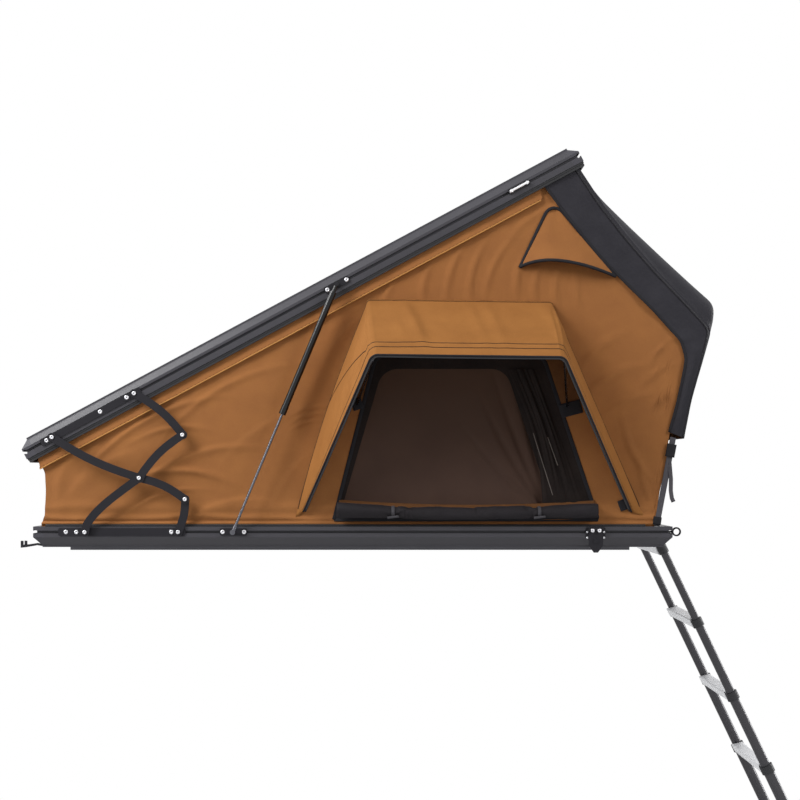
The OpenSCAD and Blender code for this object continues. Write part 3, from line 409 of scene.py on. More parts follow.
# %% Dress the rigid solids
DRESS = {
    rail_skin: ["base_side_rails", "base_end_rails", "lid_side_rails", "lid_end_rails"],
    corner_skin: ["base_corners", "lid_corners"],
    rack_skin: ["mounting_rails"], board_skin: ["base_floor"], lid_skin: ["lid_panel"],
    rubber: ["lid_seal", "ladder_feet"],
    black_steel: ["base_hinge_plates", "base_strut_studs", "latch_plates", "eye_bolts", "front_hooks", "ladder_brackets",
                  "bow_brackets", "lid_hinge_plates", "lid_strut_studs", "lower_arms", "upper_arms", "base_links",
                  "lid_links", "latch_lever_left", "latch_lever_right"],
    zinc: ["base_rivets", "lid_rivets"], keeper_skin: ["latch_keepers"],
    strut_black: ["strut_barrels"], chrome: ["strut_rods"],
    bow_alloy: ["rear_bow"], spring_black: ["awning_hoop_left", "awning_hoop_right"],
    tube_skin: [f"ladder_rails_{k}" for k in range(1, 8)], step_alloy: [f"ladder_step_{k}" for k in range(1, 8)]}
for skin, names in DRESS.items():
    for n in names:
        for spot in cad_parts[n].material_slots:
            spot.material = skin
print("dressed", sum(map(len, DRESS.values())), "solids")

# %% [markdown]
# ## Places and folding
# Points on the lid and on the rear bow are given by lengths along them, as a maker would measure. Each soft piece
# says how it folds when the lid shuts. Walls sink onto the base rail, in the gap below the lid's seal. What hangs on
# the rear bow flattens into a plane beside the bow that comes to lie in the same gap. Hoods flatten into planes
# beside their hoops, which turn inwards, the left one below the right one. The mattress is pressed a little.

# %% Places and folding
HL, ZT, Y_WALL, LID_L = 1.074, 0.095, 0.704, 2.122  # half the base, its top, half the walls' distance, the lid's length
TILT, LEAN = np.radians(28.2), np.radians(21.9)
LID0, BOW = np.array([-1.095, 0.321]), np.array([0.930, 0.108])
HEM_FOOT, HEM_TOP = np.array([-0.7125, 0.144]), np.array([-0.9975, 0.648])


def lid_at(u, v):
    """Place in the X-Z plane of a point u along the lid from its front and v above its lower lip."""
    return join(LID0[0] + u * np.cos(TILT) - v * np.sin(TILT), LID0[1] + u * np.sin(TILT) + v * np.cos(TILT))


def bow_at(s, out):
    """Place in the X-Z plane of a point s along the bow from its pivot and out behind it."""
    return join(BOW[0] + s * np.sin(LEAN) + out * np.cos(LEAN), BOW[1] + s * np.cos(LEAN) - out * np.sin(LEAN))


behind = np.array([np.cos(LEAN), -np.sin(LEAN)])  # square to the bow's plane; it points up when the tent is shut
gap = BOW - 0.0126 * behind
hoop = unit(HEM_TOP - HEM_FOOT)
square = np.array([hoop[1], -hoop[0]])
under, over = HEM_FOOT + 0.005 * square, HEM_FOOT - 0.004 * square
FOLDS = {
    "base": dict(axis=(0, 0, 1), anchor=(0, 0, ZT), keep=0.00015),
    "mattress": dict(axis=(0, 0, 1), anchor=(0, 0, 0.041), keep=0.96),
    "rear_bow": dict(axis=(behind[0], 0, behind[1]), anchor=(gap[0], 0, gap[1]), keep=0.0002),
    "awning_left": dict(axis=(0, square[0], square[1]), anchor=(0, under[0], under[1]), keep=0.008),
    "awning_right": dict(axis=(0, -square[0], square[1]), anchor=(0, -over[0], over[1]), keep=0.008)}
print("lid's rear end at", lid_at(LID_L, 0).round(3))

# %% [markdown]
# One function puts points, faces and map into a mesh and rides it on its body; a piece whose body, or named fold, has
# a folding rule gets a mesh of its own. A piece of the near side is also made as a mirror image for the far side, with
# its faces turned round so that they still look outwards.

# %% Pieces from arrays
def loops_of(mesh):
    """Number of the point at each face corner of a mesh."""
    corner = np.empty(len(mesh.loops), np.int32)
    mesh.loops.foreach_get("vertex_index", corner)
    return corner


def spots_of(mesh):
    """Coordinates of a mesh's points, as rows of an array."""
    co = np.empty(len(mesh.vertices) * 3, np.float32)
    mesh.vertices.foreach_get("co", co)
    return co.reshape(-1, 3)


def weld_up(mesh):
    """Joins points that lie at one place and turns the faces outwards."""
    bm = bmesh.new()
    bm.from_mesh(mesh)
    bmesh.ops.remove_doubles(bm, verts=bm.verts, dist=1e-6)
    bmesh.ops.recalc_face_normals(bm, faces=bm.faces)
    bm.to_mesh(mesh)
    bm.free()


def piece(name, points, faces, skin, body, slot, uv=None, thick=0.0, weld=False, fold=None):
    """A mesh object from arrays: points (k, 3), faces, uv (k, 2) in metres, else X and Z; thick adds a wall inwards. If
    its body, or another name given as fold, has a folding rule, the object gets a mesh of its own."""
    mesh = bpy.data.meshes.new(name)
    mesh.from_pydata(points.reshape(-1, 3).tolist(), [], faces.tolist())
    flat = (points.reshape(-1, 3)[:, [0, 2]] if uv is None else uv.reshape(-1, 2)).astype(np.float32)
    mesh.uv_layers.new(name="cloth").data.foreach_set("uv", flat[loops_of(mesh)].ravel())
    if weld:
        weld_up(mesh)
    mesh.polygons.foreach_set("use_smooth", np.ones(len(mesh.polygons), bool))
    mesh.materials.append(skin)
    ob = bpy.data.objects.new(name, mesh)
    bpy.context.scene.collection.objects.link(ob)
    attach(ob, body)
    if thick:
        wall = ob.modifiers.new("thickness", "SOLIDIFY")
        wall.thickness, wall.offset = thick, -1
    rule = FOLDS.get(fold or body)
    if rule:
        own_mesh(ob)
    return ob


def side_name(name, s):
    """The name of a piece or body on the near side, s = -1, or on the far side, s = 1."""
    return name + ("_left" if s < 0 else "_right")


def sided(name, s, surface, skin, body, slot, uv=None, **how):
    """A piece of one side from near-side points, faces and map: as they are for s = -1, mirrored about Y = 0 for 1."""
    points, faces, *own = surface
    if s > 0:
        points, faces = points * [1, -1, 1], faces[:, ::-1]
    return piece(side_name(name, s), points, faces, skin, body, slot, uv=own[0] if own else uv, **how)


print("folding rules:", ", ".join(FOLDS))

# %% [markdown]
# Piping, straps and seams are one profile carried along a path. The profile is a closed outline, here a rounded box;
# at each point of the path it is set across the direction of travel, with one side kept towards a given outward way.

# %% Profile along a path
NEAR = (0, -1, 0)  # outwards on the near side


def outline(wide, thick, sides=10, power=0.6):
    """Rounded box: cosine and sine raised to a power below 1, which squares the ellipse."""
    a = np.arange(sides) * 2 * np.pi / sides
    c, d = np.cos(a), np.sin(a)
    return join(np.sign(c) * np.abs(c) ** power * wide / 2, np.sign(d) * np.abs(d) ** power * thick / 2)


def sweep(path, outward, profile):
    """Points, faces and map of a profile along a path; outward is a vector or one for each point. Ends are closed."""
    go = unit(np.gradient(path, axis=0))
    out = np.broadcast_to(outward, path.shape)
    out = unit(out - go * (out * go).sum(1, keepdims=True))
    side = np.cross(go, out)
    size = np.r_[0.0, np.ones(len(path)), 0.0][:, None, None]
    line, out, side = (np.vstack([a[:1], a, a[-1:]])[:, None] for a in (path, out, side))
    pts = line + size * (profile[None, :, :1] * side + profile[None, :, 1:] * out)
    run = run_of(path)
    run = np.r_[run[0], run, run[-1]]
    around = np.linspace(0, np.ptp(profile[:, 0]), len(profile))
    return pts, quads(len(pts), len(profile), ring=True), join(run[:, None], around)


print("a 20 mm tape has", len(outline(0.02, 0.002)), "points round it")

# %% [markdown]
# Paths are chains of straight legs, as measured, whose corners are rounded with one radius. The outlines of door and
# hood are such chains. Points are counted leg by leg and corner by corner, so that two outlines pair up point by
# point.

# %% Paths with rounded corners
LEGS = (50, 18, 60, 18, 50)  # points on leg, corner, top, corner and leg of a door or hood


def smooth_path(points, n):
    """n points at even steps along straight legs between the given points."""
    p = np.asarray(points, float)
    run = run_of(p)
    return walk(np.linspace(0, run[-1], n), run, p)


def rounded(points, radius, n):
    """Points round a chain of legs whose inner corners are circle arcs of one radius, then n at even steps."""
    p = np.asarray(points, float)
    k = ramp(14)[:, None]
    out = [p[:1]]
    for a, b, c in zip(p[:-2], p[1:-1], p[2:]):
        ta, tc = unit(a - b), unit(c - b)
        half = np.arccos(np.clip(ta @ tc, -1, 1)) / 2
        mid = b + unit(ta + tc) * radius / np.sin(half)
        q0, q1 = (b + way * radius / np.tan(half) - mid for way in (ta, tc))
        out.append(mid + unit(q0 * (1 - k) + q1 * k) * radius)
    out.append(p[-1:])
    return smooth_path(np.vstack(out), n)


def chain_of(q, radius):
    """Leg, corner arc, top, corner arc, leg: the same counts for seam and hem, so that they pair up."""
    r = rounded(q, radius, 4001)
    run = run_of(r)
    turn = []
    for k in (1, 2):
        half = np.arccos(unit(q[k - 1] - q[k]) @ unit(q[k + 1] - q[k])) / 2
        mid = run[np.hypot(*(r - q[k]).T).argmin()]
        arc = radius * (np.pi / 2 - half)
        turn += [mid - arc, mid + arc]
    marks = np.r_[0, turn, run[-1]]
    legs = [np.linspace(marks[i], marks[i + 1], n, endpoint=False) for i, n in enumerate(LEGS)]
    return walk(np.concatenate(legs + [marks[-1:]]), run, r)


print("a door's outline has", sum(LEGS) + 1, "points")

# %% [markdown]
# ## The side walls
# Each wall is flat canvas between base and lid, with a door cut out. Its shape is a flat grid moved outwards by a sum
# of soft ridges: rolls of slack cloth above the base rail, puckers along the band under the lid, pulls near the hinge
# bars, and upright folds over the hood. Each ridge is a bell curve across its line and another along it.

# %% Folds of a wall
RIDGES = np.array([  # x, z, angle in degrees, half length, half width, height in mm
    (-0.70, 0.455, 29, 0.20, 0.013, 7.0), (-0.60, 0.430, 6, 0.10, 0.012, 5.0), (-0.56, 0.285, -4, 0.13, 0.015, 9.0),
    (-0.66, 0.200, 20, 0.11, 0.012, 6.0), (-0.86, 0.290, 35, 0.12, 0.026, 4.0), (-0.99, 0.250, 80, 0.09, 0.020, 4.0),
    (-0.50, 0.350, 14, 0.16, 0.016, 5.0), (-0.40, 0.180, 8, 0.12, 0.017, 4.0), (-0.32, 0.420, 35, 0.18, 0.022, 2.0),
    (-0.24, 0.230, 62, 0.12, 0.016, 2.0), (-0.15, 0.472, 14, 0.045, 0.006, 4.5), (-0.14, 0.497, 10, 0.050, 0.006, 4.0),
    (-0.16, 0.447, 18, 0.040, 0.006, 4.0), (-0.02, 0.760, 48, 0.14, 0.018, 2.0), (0.12, 0.900, 66, 0.07, 0.011, 5.5),
    (0.24, 0.930, 78, 0.09, 0.012, 6.0), (0.33, 0.960, 72, 0.12, 0.010, 6.0), (0.40, 0.950, 76, 0.11, 0.009, 6.0),
    (0.47, 0.970, 66, 0.10, 0.011, 5.0), (0.55, 0.930, 82, 0.08, 0.010, 6.0), (0.61, 0.905, 88, 0.06, 0.009, 6.0),
    (0.68, 0.890, 92, 0.07, 0.009, 6.0), (0.75, 0.880, 98, 0.07, 0.012, 5.0), (0.86, 0.600, 32, 0.10, 0.015, 6.0),
    (0.92, 0.520, 24, 0.10, 0.015, 5.0), (0.83, 0.700, 40, 0.09, 0.015, 5.0), (0.95, 0.330, 118, 0.12, 0.012, 5.0),
    (0.98, 0.240, 108, 0.09, 0.010, 5.0), (0.62, 1.150, 30, 0.10, 0.009, 5.0), (0.68, 1.175, 36, 0.06, 0.007, 5.0),
    (0.00, 0.600, 80, 0.10, 0.017, 1.5), (0.30, 1.060, 30, 0.16, 0.015, 3.5), (1.00, 0.600, 38, 0.07, 0.010, 5.0),
    (1.03, 0.520, 30, 0.05, 0.009, 5.0), (1.02, 0.680, 50, 0.07, 0.010, 4.0), (-0.45, 0.560, 30, 0.20, 0.014, 4.0)])


def below_lid(x, z):
    """Distance of a point under the lid's lower lip, square to the lid."""
    return np.sin(TILT) * (x - LID0[0]) - np.cos(TILT) * (z - LID0[1])


def bell(d, wide):
    """Bell curve of a distance: 1 in the middle, 0.37 at one width from it."""
    return np.exp(-(d / wide) ** 2)


def wall_out(x, z):
    """How far the wall stands out, in metres: bell-shaped ridges, the rolls above the base and puckers under the lid."""
    d = np.zeros_like(x)
    for rx, rz, a, length, wide, high in RIDGES:
        c, s = np.cos(np.radians(a)), np.sin(np.radians(a))
        p, q = (x - rx) * c + (z - rz) * s, -(x - rx) * s + (z - rz) * c
        q = q + 0.16 * p * p / length  # the ridge bends a little
        q = np.where(q > 0, q * 1.7, q)  # and is steeper on its upper side
        d += 1.3 * high * np.exp(-(p / length) ** 2 - (q / wide) ** 2)
    up = z - ZT
    wavy = 0.004 * np.sin(x * 9.1) + 0.003 * np.sin(x * 23.0 + 1.3)
    d += 7.0 * bell(up - 0.010, 0.0055) - 2.5 * bell(up - 0.0175, 0.003)
    d += 5.0 * bell(up - 0.030 - wavy, 0.010) + 4.0 * bell(up - 0.062 + wavy, 0.016)
    under = below_lid(x, z)
    pucker = 0.5 * np.sin(x * 165) + 0.5 * np.sin(x * 97 + 2)
    d -= np.clip(d, 0, None) * bell(np.clip(under - 0.045, 0, None), 0.03)
    d += 1.2 * pucker * bell(under - 0.05, 0.014)
    d += 1.2 * np.sin(x * 5.3 + z * 3.1) * np.sin(z * 6.7 - x * 2.0)
    return np.clip(d, -3, 16) / 1000


print("ridges on a wall:", len(RIDGES))

# %% [markdown]
# A maker would draw a wall flat before cutting it. Its upper edge follows the lid and then slants down to the rear
# bow, a little slack; its lower edge follows the base and then the rear edge. Under the flysheet the wall ends a
# little sooner than the rear edge. The front edge is drawn in between base and lid.

# %% Outline of a wall
DOOR = np.array([(-0.064, 0.023), (0.078, 0.580), (0.640, 0.580), (0.826, 0.023)]) + [0, ZT]
door_line = rounded(DOOR, 0.05, 240)
rear_low = np.array([(1.017, 0), (1.026, 0.068), (1.038, 0.139), (1.052, 0.186), (1.060, 0.247), (1.066, 0.323)])
rear_low += [0, ZT]
REAR = np.vstack([rear_low, bow_at(0.505, 0.016), bow_at(0.696, 0.0)])
EDGE = np.vstack([rear_low, bow_at(0.505, 0.003), bow_at(0.696, -0.012)])
lid_rear = lid_at(LID_L - 0.032, -0.0003)


def slack(t):
    """How far the cloth's edge hangs below a straight line from lid to bow, at a share t of the way."""
    return np.interp(t, (0, 0.2, 0.4, 0.6, 0.8, 1), (0, 0.025, 0.028, 0.024, 0.010, 0))


def inside(x, z, line):
    """True for points inside a closed outline, by counting the edges that a ray to the right crosses."""
    hit = np.zeros(x.shape, bool)
    for (x0, z0), (x1, z1) in zip(line, np.roll(line, -1, 0)):
        cross = (z0 > z) != (z1 > z)
        hit ^= cross & (x < (x1 - x0) * (z - z0) / (z1 - z0 if z1 != z0 else 1e-12) + x0)
    return hit


def top_line(x):
    """Upper edge of a wall: along the lid, then down the slanting rear edge to the bow."""
    t = (x - lid_rear[0]) / (EDGE[-1, 0] - lid_rear[0])
    slant = lid_rear[1] + t * (EDGE[-1, 1] - lid_rear[1]) - 1.5 * slack(t)
    return np.where(t < 0, LID0[1] + (x - LID0[0]) * np.tan(TILT), slant)


def foot_line(x):
    """Lower edge of a wall: the base, then up the rear edge."""
    return np.interp(x, EDGE[:, 0], EDGE[:, 1], left=ZT)


def front_edge(v):
    """X of the front edge at a share v of its height: it is drawn in between base and lid."""
    return np.interp(v, (0, 0.05, 0.15, 0.5, 0.75, 0.82, 0.9, 1),
                     (-1.050, -1.049, -1.039, -1.036, -1.039, -1.046, -1.062, -1.065))


print("door opening", np.ptp(DOOR, 0).round(3), "m")

# %% [markdown]
# The grid's columns run from the base up to the lid. Past X = 1.045 the wall is a piece of its own, because there it
# folds with the rear bow. The door's outline is cut by dropping the faces inside it, after points near the outline
# have moved onto it; a tape covers the edge.

# %% Wall panels
SPLIT, LAP = 1.045, 0.008


def wall_front(n=200, m=120, near=0.0072):
    """n columns at even steps from the drawn-in front edge to SPLIT; m rows from base to lid. Points near the door's
    outline move onto it."""
    u, v = grid(ramp(n), ramp(m) ** 1.15)
    x, xt, xb = (front_edge(e) + (SPLIT - front_edge(e)) * u for e in (v, 1, 0))
    flat = join(x, foot_line(xb) + (top_line(xt) - foot_line(xb)) * v).reshape(-1, 2)
    far = np.hypot(flat[:, None, 0] - door_line[None, :, 0], flat[:, None, 1] - door_line[None, :, 1])
    k = far.argmin(1)
    close = far[np.arange(len(k)), k] < near
    flat[close] = door_line[k[close]]
    return flat, quads(n, m)


def wall_rear(n=18, m=70):
    """n columns from SPLIT to the bow, between the rear edge below and the slanting edge above."""
    u, v = grid(ramp(n), ramp(m))
    x = SPLIT - LAP + (EDGE[-1, 0] - SPLIT + LAP) * u
    return join(x, foot_line(x) + (top_line(x) - foot_line(x)) * v).reshape(-1, 2), quads(n, m)


PANELS = (("front", "base", 0.0, wall_front()), ("rear", "rear_bow", 0.0002, wall_rear()))
for part, body, recess, (flat, faces) in PANELS:
    mid = flat[faces].mean(1)
    faces = faces[~inside(mid[:, 0], mid[:, 1], door_line)]
    used, faces = np.unique(faces, return_inverse=True)
    flat, faces = flat[used], faces.reshape(-1, 4)
    pts = join(flat[:, 0], -Y_WALL - wall_out(flat[:, 0], flat[:, 1]) + recess, flat[:, 1])
    for s in (-1, 1):
        sided("wall_" + part, s, (pts, faces), canvas, body, "brown_canvas", uv=flat)
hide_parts("side_walls")

# %% [markdown]
# The front and rear walls close the ends. The front one is a plain strip; the rear one follows the rear edge up to
# the bow and over it to the lid, with soft creases that fan out from the bow's corners.

# %% End walls
u, v = grid(np.linspace(-1, 1, 90), ramp(24))
wrinkle = 0.004 * np.sin(np.pi * v) * np.cos(u * 14) * (1 - u ** 4)
pts = join(front_edge(v) + wrinkle, 0.7035 * u, ZT + 0.2395 * v)
front = piece("wall_end_front", pts, quads(90, 24)[:, ::-1], canvas, "base", "brown_canvas", uv=join(0.7 * u, 0.24 * v))
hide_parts("front_wall")


def bow_s(y, out):
    """Height along the bow of a curve round it at a distance out, for each y: straight across, then a quarter circle."""
    r = 0.096 + out
    e = np.clip(np.abs(y) - 0.671 + 0.096, 0, r)
    return 0.696 + np.maximum(out, np.sqrt(r ** 2 - e ** 2))


def rear_curve(y, top, n):
    """n points in the X-Z plane at each y: up the rear edge, round the bow 11 mm behind it, and on to a top point."""
    tip = bow_at(bow_s(y, 0.011), 0.011)
    rows = [np.broadcast_to(p, tip.shape) for p in REAR[:7]]
    rows += [REAR[6] * 0.4 + tip * 0.6 + [0.002, 0], tip]
    side = np.clip((np.abs(y) - 0.6) / 0.1, 0, 1)
    rows += [top * (1 - t) + tip * t - join(0 * y, 0.008 * (1 - t) + 1.3 * slack(t) * side)
             for t in (0.8, 0.6, 0.4, 0.2)]
    knots = np.stack(rows + [np.broadcast_to(top, tip.shape)], 1)
    return np.stack([walk(ramp(n) * d[-1], d, k) for d, k in zip(run_of(knots, 1), knots)])


ys = 0.7025 * np.sin(np.linspace(-np.pi / 2, np.pi / 2, 91))
line = rear_curve(ys, lid_at(LID_L - 0.036, -0.0013), 80)
v, ys = ramp(80)[None], ys[:, None]
crease = 0.006 * np.sin(np.pi * v) * (0.5 + 0.5 * np.sin(ys * 16 + 5 * v)) * (np.abs(ys) < 0.69)
rear = piece("wall_end_rear", join(line[..., 0] - crease, ys, line[..., 1]), quads(91, 80), canvas, "rear_bow",
             "brown_canvas", uv=join(ys, 1.6 * v))
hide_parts("rear_wall")
print("end walls:", front.name, rear.name)

# %% [markdown]
# ## The door
# Behind the opening hangs the insect screen, a little slack: it bellies inwards, and its creases fan out from the
# lower right corner. A dark border frames it, and a black tape binds the edge of the opening.

# %% Screen and binding
CREASES = (  # lean, reach, width and height of each
    (0.02, 0.90, 0.016, 0.010), (0.16, 0.72, 0.015, 0.011), (0.30, 0.60, 0.014, 0.010), (0.57, 0.50, 0.013, 0.008))


def on_wall(xz, lift=0.0):
    """Points on the near wall's outer face at given X-Z places, lifted outwards."""
    xz = np.asarray(xz, float)
    return join(xz[..., 0], -Y_WALL - wall_out(xz[..., 0], xz[..., 1]) - lift, xz[..., 1])


u, v = grid(ramp(96), ramp(64))
left = DOOR[0] + (DOOR[1] - DOOR[0]) * v[..., None] + [-0.012, 0]
right = DOOR[3] + (DOOR[2] - DOOR[3]) * v[..., None] + [0.012, 0]
xz = left + (right - left) * u[..., None] + join(0 * v, (v - 0.5) * 0.02)
belly = 0.02 * np.sin(np.pi * u) * np.sin(np.pi * v)
for lean, reach, wide, high in CREASES:
    q = u - (0.82 - lean * v)
    belly += high * np.exp(-(q / wide) ** 2 - (v / reach) ** 4) * np.clip(v / 0.06, 0, 1)
edge = np.minimum.reduce([u, 1 - u, v, 1 - v]) * 14
pts = join(xz[..., 0], -Y_WALL + 0.0030 + belly * np.clip(edge, 0, 1), xz[..., 1])
arch = np.array([(-0.053, 0.010), (0.100, 0.531), (0.515, 0.531), (0.689, 0.010)]) + [0, ZT]
k = ramp(8)[None, :, None]
rim = chain_of(DOOR, 0.05)[:, None] * (1 - k) + chain_of(arch, 0.07)[:, None] * k
rim = join(rim[..., 0], -Y_WALL + 0.0018, rim[..., 1])
tape = sweep(on_wall(np.vstack([door_line, door_line[:1]]), 0.0012), NEAR, outline(0.013, 0.0022))
for s in (-1, 1):
    net = sided("door_screen", s, (pts, quads(96, 64)), screen, "base", "door_mesh", uv=xz)
    border = sided("door_border", s, (rim, quads(len(rim), 8)[:, ::-1]), curtain_cloth, "base", "dark_cloth")
    bind = sided("door_binding", s, tape, black_tape, "base", "dark_cloth")
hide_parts("door_meshes")

# %% [markdown]
# The door panel is rolled down into a bundle along the sill and held by two loops with toggles. The bundle starts as
# a loose cylinder: its radius changes with the angle and along the length, and it is thin in the middle and full at
# the ends. A short cloth simulation then blows it up a little between the loops, as a packed roll would press
# outwards.

# %% Shape of the rolled door
ROLL_Y, ROLL_FOOT, ROLL_R = -0.7368, 0.1230, 0.0300
TIES = (0.135, 0.624)
x, around = np.linspace(-0.048, 0.815, 150), 48


def roll_radius(X, A):
    """Radius of the roll: tight at the loops, fuller between them, with a few creases along its length."""
    tie = sum(bell(X - t, 0.03) for t in TIES)
    crease = 0.05 * np.sin(3 * A + 6 * X) + 0.03 * np.sin(5 * A - 11 * X + 1) + 0.02 * np.sin(2 * A + 40 * X)
    return ROLL_R * (0.95 - 0.13 * tie + crease * (1 - 0.7 * tie))


def roll_half(X):
    """Half the roll's height along its length: a parabola, thin in the middle and full at the ends."""
    return 0.0185 + 0.0085 * ((X - 0.40) / 0.44) ** 2


def roll_at(X, A, lift=0.0):
    """Point on the roll: it rests on one level and is lower in the middle than at the ends; lift stands off it."""
    r = roll_radius(X, A) + lift
    low = roll_half(X)
    return join(X, ROLL_Y - 0.92 * r * np.cos(A), ROLL_FOOT + low + low / ROLL_R * r * np.sin(A))


def swell(points, faces, held, voxel=0.005, cap=0.006, pressure=4.0, spare=0.05, frames=20):
    """Cloth simulation of a closed bundle: even quads of one voxel size are blown up by a small pressure, with a little
    more cloth than the form needs, while the points near the loops are held; no point moves further than the cap."""
    mesh = bpy.data.meshes.new("swell")
    mesh.from_pydata(points.reshape(-1, 3).tolist(), [], faces.tolist())
    weld_up(mesh)
    ob = bpy.data.objects.new("swell", mesh)
    bpy.context.scene.collection.objects.link(ob)
    even_grid = ob.modifiers.new("grid", "REMESH")
    even_grid.mode, even_grid.voxel_size = "VOXEL", voxel
    ob.data = bpy.data.meshes.new_from_object(ob.evaluated_get(bpy.context.evaluated_depsgraph_get()))
    ob.modifiers.clear()
    start = spots_of(ob.data).astype(float)
    pins = ob.vertex_groups.new(name="pins")
    pins.add(np.flatnonzero(np.abs(start[:, 0, None] - held).min(1) < 0.007).tolist(), 1.0, "REPLACE")
    cloth = ob.modifiers.new("cloth", "CLOTH").settings
    cloth.use_pressure = True
    cloth.uniform_pressure_force = pressure
    cloth.shrink_min = -spare
    cloth.vertex_group_mass = "pins"
    cloth.effector_weights.gravity = 0
    for number in range(1, frames + 1):
        bpy.context.scene.frame_set(number)
    move = spots_of(ob.evaluated_get(bpy.context.evaluated_depsgraph_get()).to_mesh()) - start
    bpy.context.scene.frame_set(1)
    far = np.linalg.norm(move, axis=1, keepdims=True)
    quad = loops_of(ob.data).reshape(-1, 4)
    bpy.data.objects.remove(ob)
    return start + move * np.minimum(1, cap / np.maximum(far, 1e-9)), quad


tube = roll_at(*grid(x, np.linspace(0, 2 * np.pi, around, endpoint=False)))
ends = [tube[k].mean(0) + (tube[k] - tube[k].mean(0)) * q for k, q in ((0, 0.0), (0, 0.55), (-1, 0.55), (-1, 0.0))]
pts = np.stack([*ends[:2], *tube, *ends[2:]])
pts, roll_faces = pts.reshape(-1, 3), quads(len(pts), around, ring=True)
pts, roll_faces = swell(pts, roll_faces, TIES)
print("roll of", len(pts), "points")

# %% [markdown]
# The brown face of the door lies along the top of the roll, in a darker brown cloth that is painted shade under the
# hood. Loops and toggles are elastic tape. When the tent is shut, the sill of the wall goes inside with the hood, so
# all of this turns with the hood.

# %% Rolled door, its face, loops and toggles
angle = np.arctan2(pts[:, 2] - ROLL_FOOT - roll_half(pts[:, 0]), ROLL_Y - pts[:, 1])
X2, T2 = grid(x, ramp(12))
lip_y = -Y_WALL - 0.003 - 0.012 * np.sin(np.pi * T2 * 0.6) - 0.002 * np.sin(X2 * 23)
lip = join(X2, lip_y, ROLL_FOOT + 2 * roll_half(X2) - 0.016 + 0.024 * (1 - T2))
lip = lip, quads(len(x), 12)[:, ::-1], join(X2, 0.03 * T2)
bundle = pts, roll_faces, join(pts[:, 0], angle * ROLL_R)
for s in (-1, 1):
    body = side_name("awning", s)
    roll = sided("door_roll", s, bundle, roll_cloth, body, "dark_cloth", weld=True)
    face = sided("door_face", s, lip, shade_lining, body, "brown_canvas", thick=0.001)
    smooth = roll.modifiers.new("smooth", "SUBSURF")
    smooth.levels = smooth.render_levels = 1
    for k, t in enumerate(TIES, 1):
        ring = roll_at(t, np.linspace(-0.6, 2 * np.pi - 0.6, 40), 0.0026)
        loop = sweep(ring, ring - ring.mean(0), outline(0.011, 0.0024))
        sided(f"roll_loop_{k}", s, loop, loop_tape, body, "dark_cloth")
        bar = roll_at(t, -0.8, 0.008) + np.linspace(-0.019, 0.019, 9)[:, None] * [1, 0, 0.12]
        sided(f"roll_toggle_{k}", s, sweep(bar, NEAR, outline(0.008, 0.008, 8, 1.0)), loop_tape, body, "dark_cloth")
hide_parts("door_rolls")

# %% [markdown]
# ## The hood over the door
# The hood is one canopy from a seam on the wall to a hem on a sprung hoop. Seam and hem are the same chain of legs
# and rounded corners, so one parameter runs round both and the other from seam to hem. Between them the cloth bellies
# out a little, with soft creases on the top panel, and it is pinched where two lines of stitches run above the hem.

# %% Hood surface
SEAM = np.array([(-0.194, 0.030), (0.050, 0.767), (0.668, 0.759), (0.983, 0.032)]) + [0, ZT]
HEM = np.array([(-0.167, 0.049), (0.066, 0.556), (0.680, 0.549), (0.938, 0.049)]) + [0, ZT]
Y_HOOD, DEEP = Y_WALL + 0.0025, 40
PINCHES = (0.80, 0.87)


def hem_y(z):
    """Distance of the hem from the middle of the tent: it leans out evenly from its feet to its top."""
    return Y_HOOD + 0.006 + 0.285 * (z - HEM[0, 1]) / (HEM[1, 1] - HEM[0, 1])


seam, hem = chain_of(SEAM, 0.012), chain_of(HEM, 0.030)
seam[:LEGS[0], 0] -= 0.016 * np.sin(np.pi * ramp(LEGS[0]))
N = len(seam)
way, k = ramp(N)[:, None], ramp(DEEP)[None]
up = np.clip((hem[:, 1:] - HEM[0, 1]) / 0.504, 0, 1)
belly = np.sin(np.pi * k)
top = np.exp(-((way - 0.5) / 0.17) ** 4)
rng = np.random.default_rng(11)
draws = zip(rng.uniform(0.36, 0.66, 9), rng.uniform(0.006, 0.014, 9), rng.uniform(0.003, 0.006, 9))
fan = sum(h * bell(way - c - 0.03 * k, w) for c, w, h in draws)
draws = zip(np.r_[rng.uniform(0.03, 0.3, 7), rng.uniform(0.7, 0.97, 7)], rng.uniform(0.006, 0.015, 14),
            rng.uniform(0.001, 0.0035, 14))
legs = sum(h * bell(way - c, w) for c, w, h in draws)
bulge = 0.010 * belly * up - 0.010 * top * belly ** 2 * 0.4 + (fan * top * (1 - 0.6 * k) + legs) * belly
bulge = bulge - 0.0022 * sum(bell(k - c, 0.012) for c in PINCHES)
flat = seam[:, None] * (1 - k[..., None]) + hem[:, None] * k[..., None]
py = -(Y_HOOD * (1 - k) + hem_y(hem[:, 1:]) * k)
flat = join(flat[..., 0], py, flat[..., 1])
du, dv = np.gradient(flat, axis=0), np.gradient(flat, axis=1)
normal = unit(np.cross(dv, du))
normal *= np.sign((normal * (flat - [0.386, -0.72, 0.35])).sum(-1, keepdims=True).mean())
clear = np.clip((-py - Y_HOOD) / 0.004, 0, 1)
hood_pts = flat + normal * (bulge * clear)[..., None]
hood_uv = join(run_of(hem)[:, None], run_of(flat, 1))


def on_hood(i, k, lift=0.0):
    """Point and normal of the hood at a share i of its way round and k from seam to hem, between its four neighbours;
    lift stands off along the normal."""
    i, k = np.clip(i * (N - 1), 0, N - 1.001), np.clip(k * (DEEP - 1), 0, DEEP - 1.001)
    a, b = i.astype(int), k.astype(int)
    p, q = (i - a)[:, None], (k - b)[:, None]
    at, out = (g[a, b] * (1 - p) * (1 - q) + g[a + 1, b] * p * (1 - q) + g[a, b + 1] * (1 - p) * q
               + g[a + 1, b + 1] * p * q for g in (hood_pts, normal))
    return at + lift * out, out
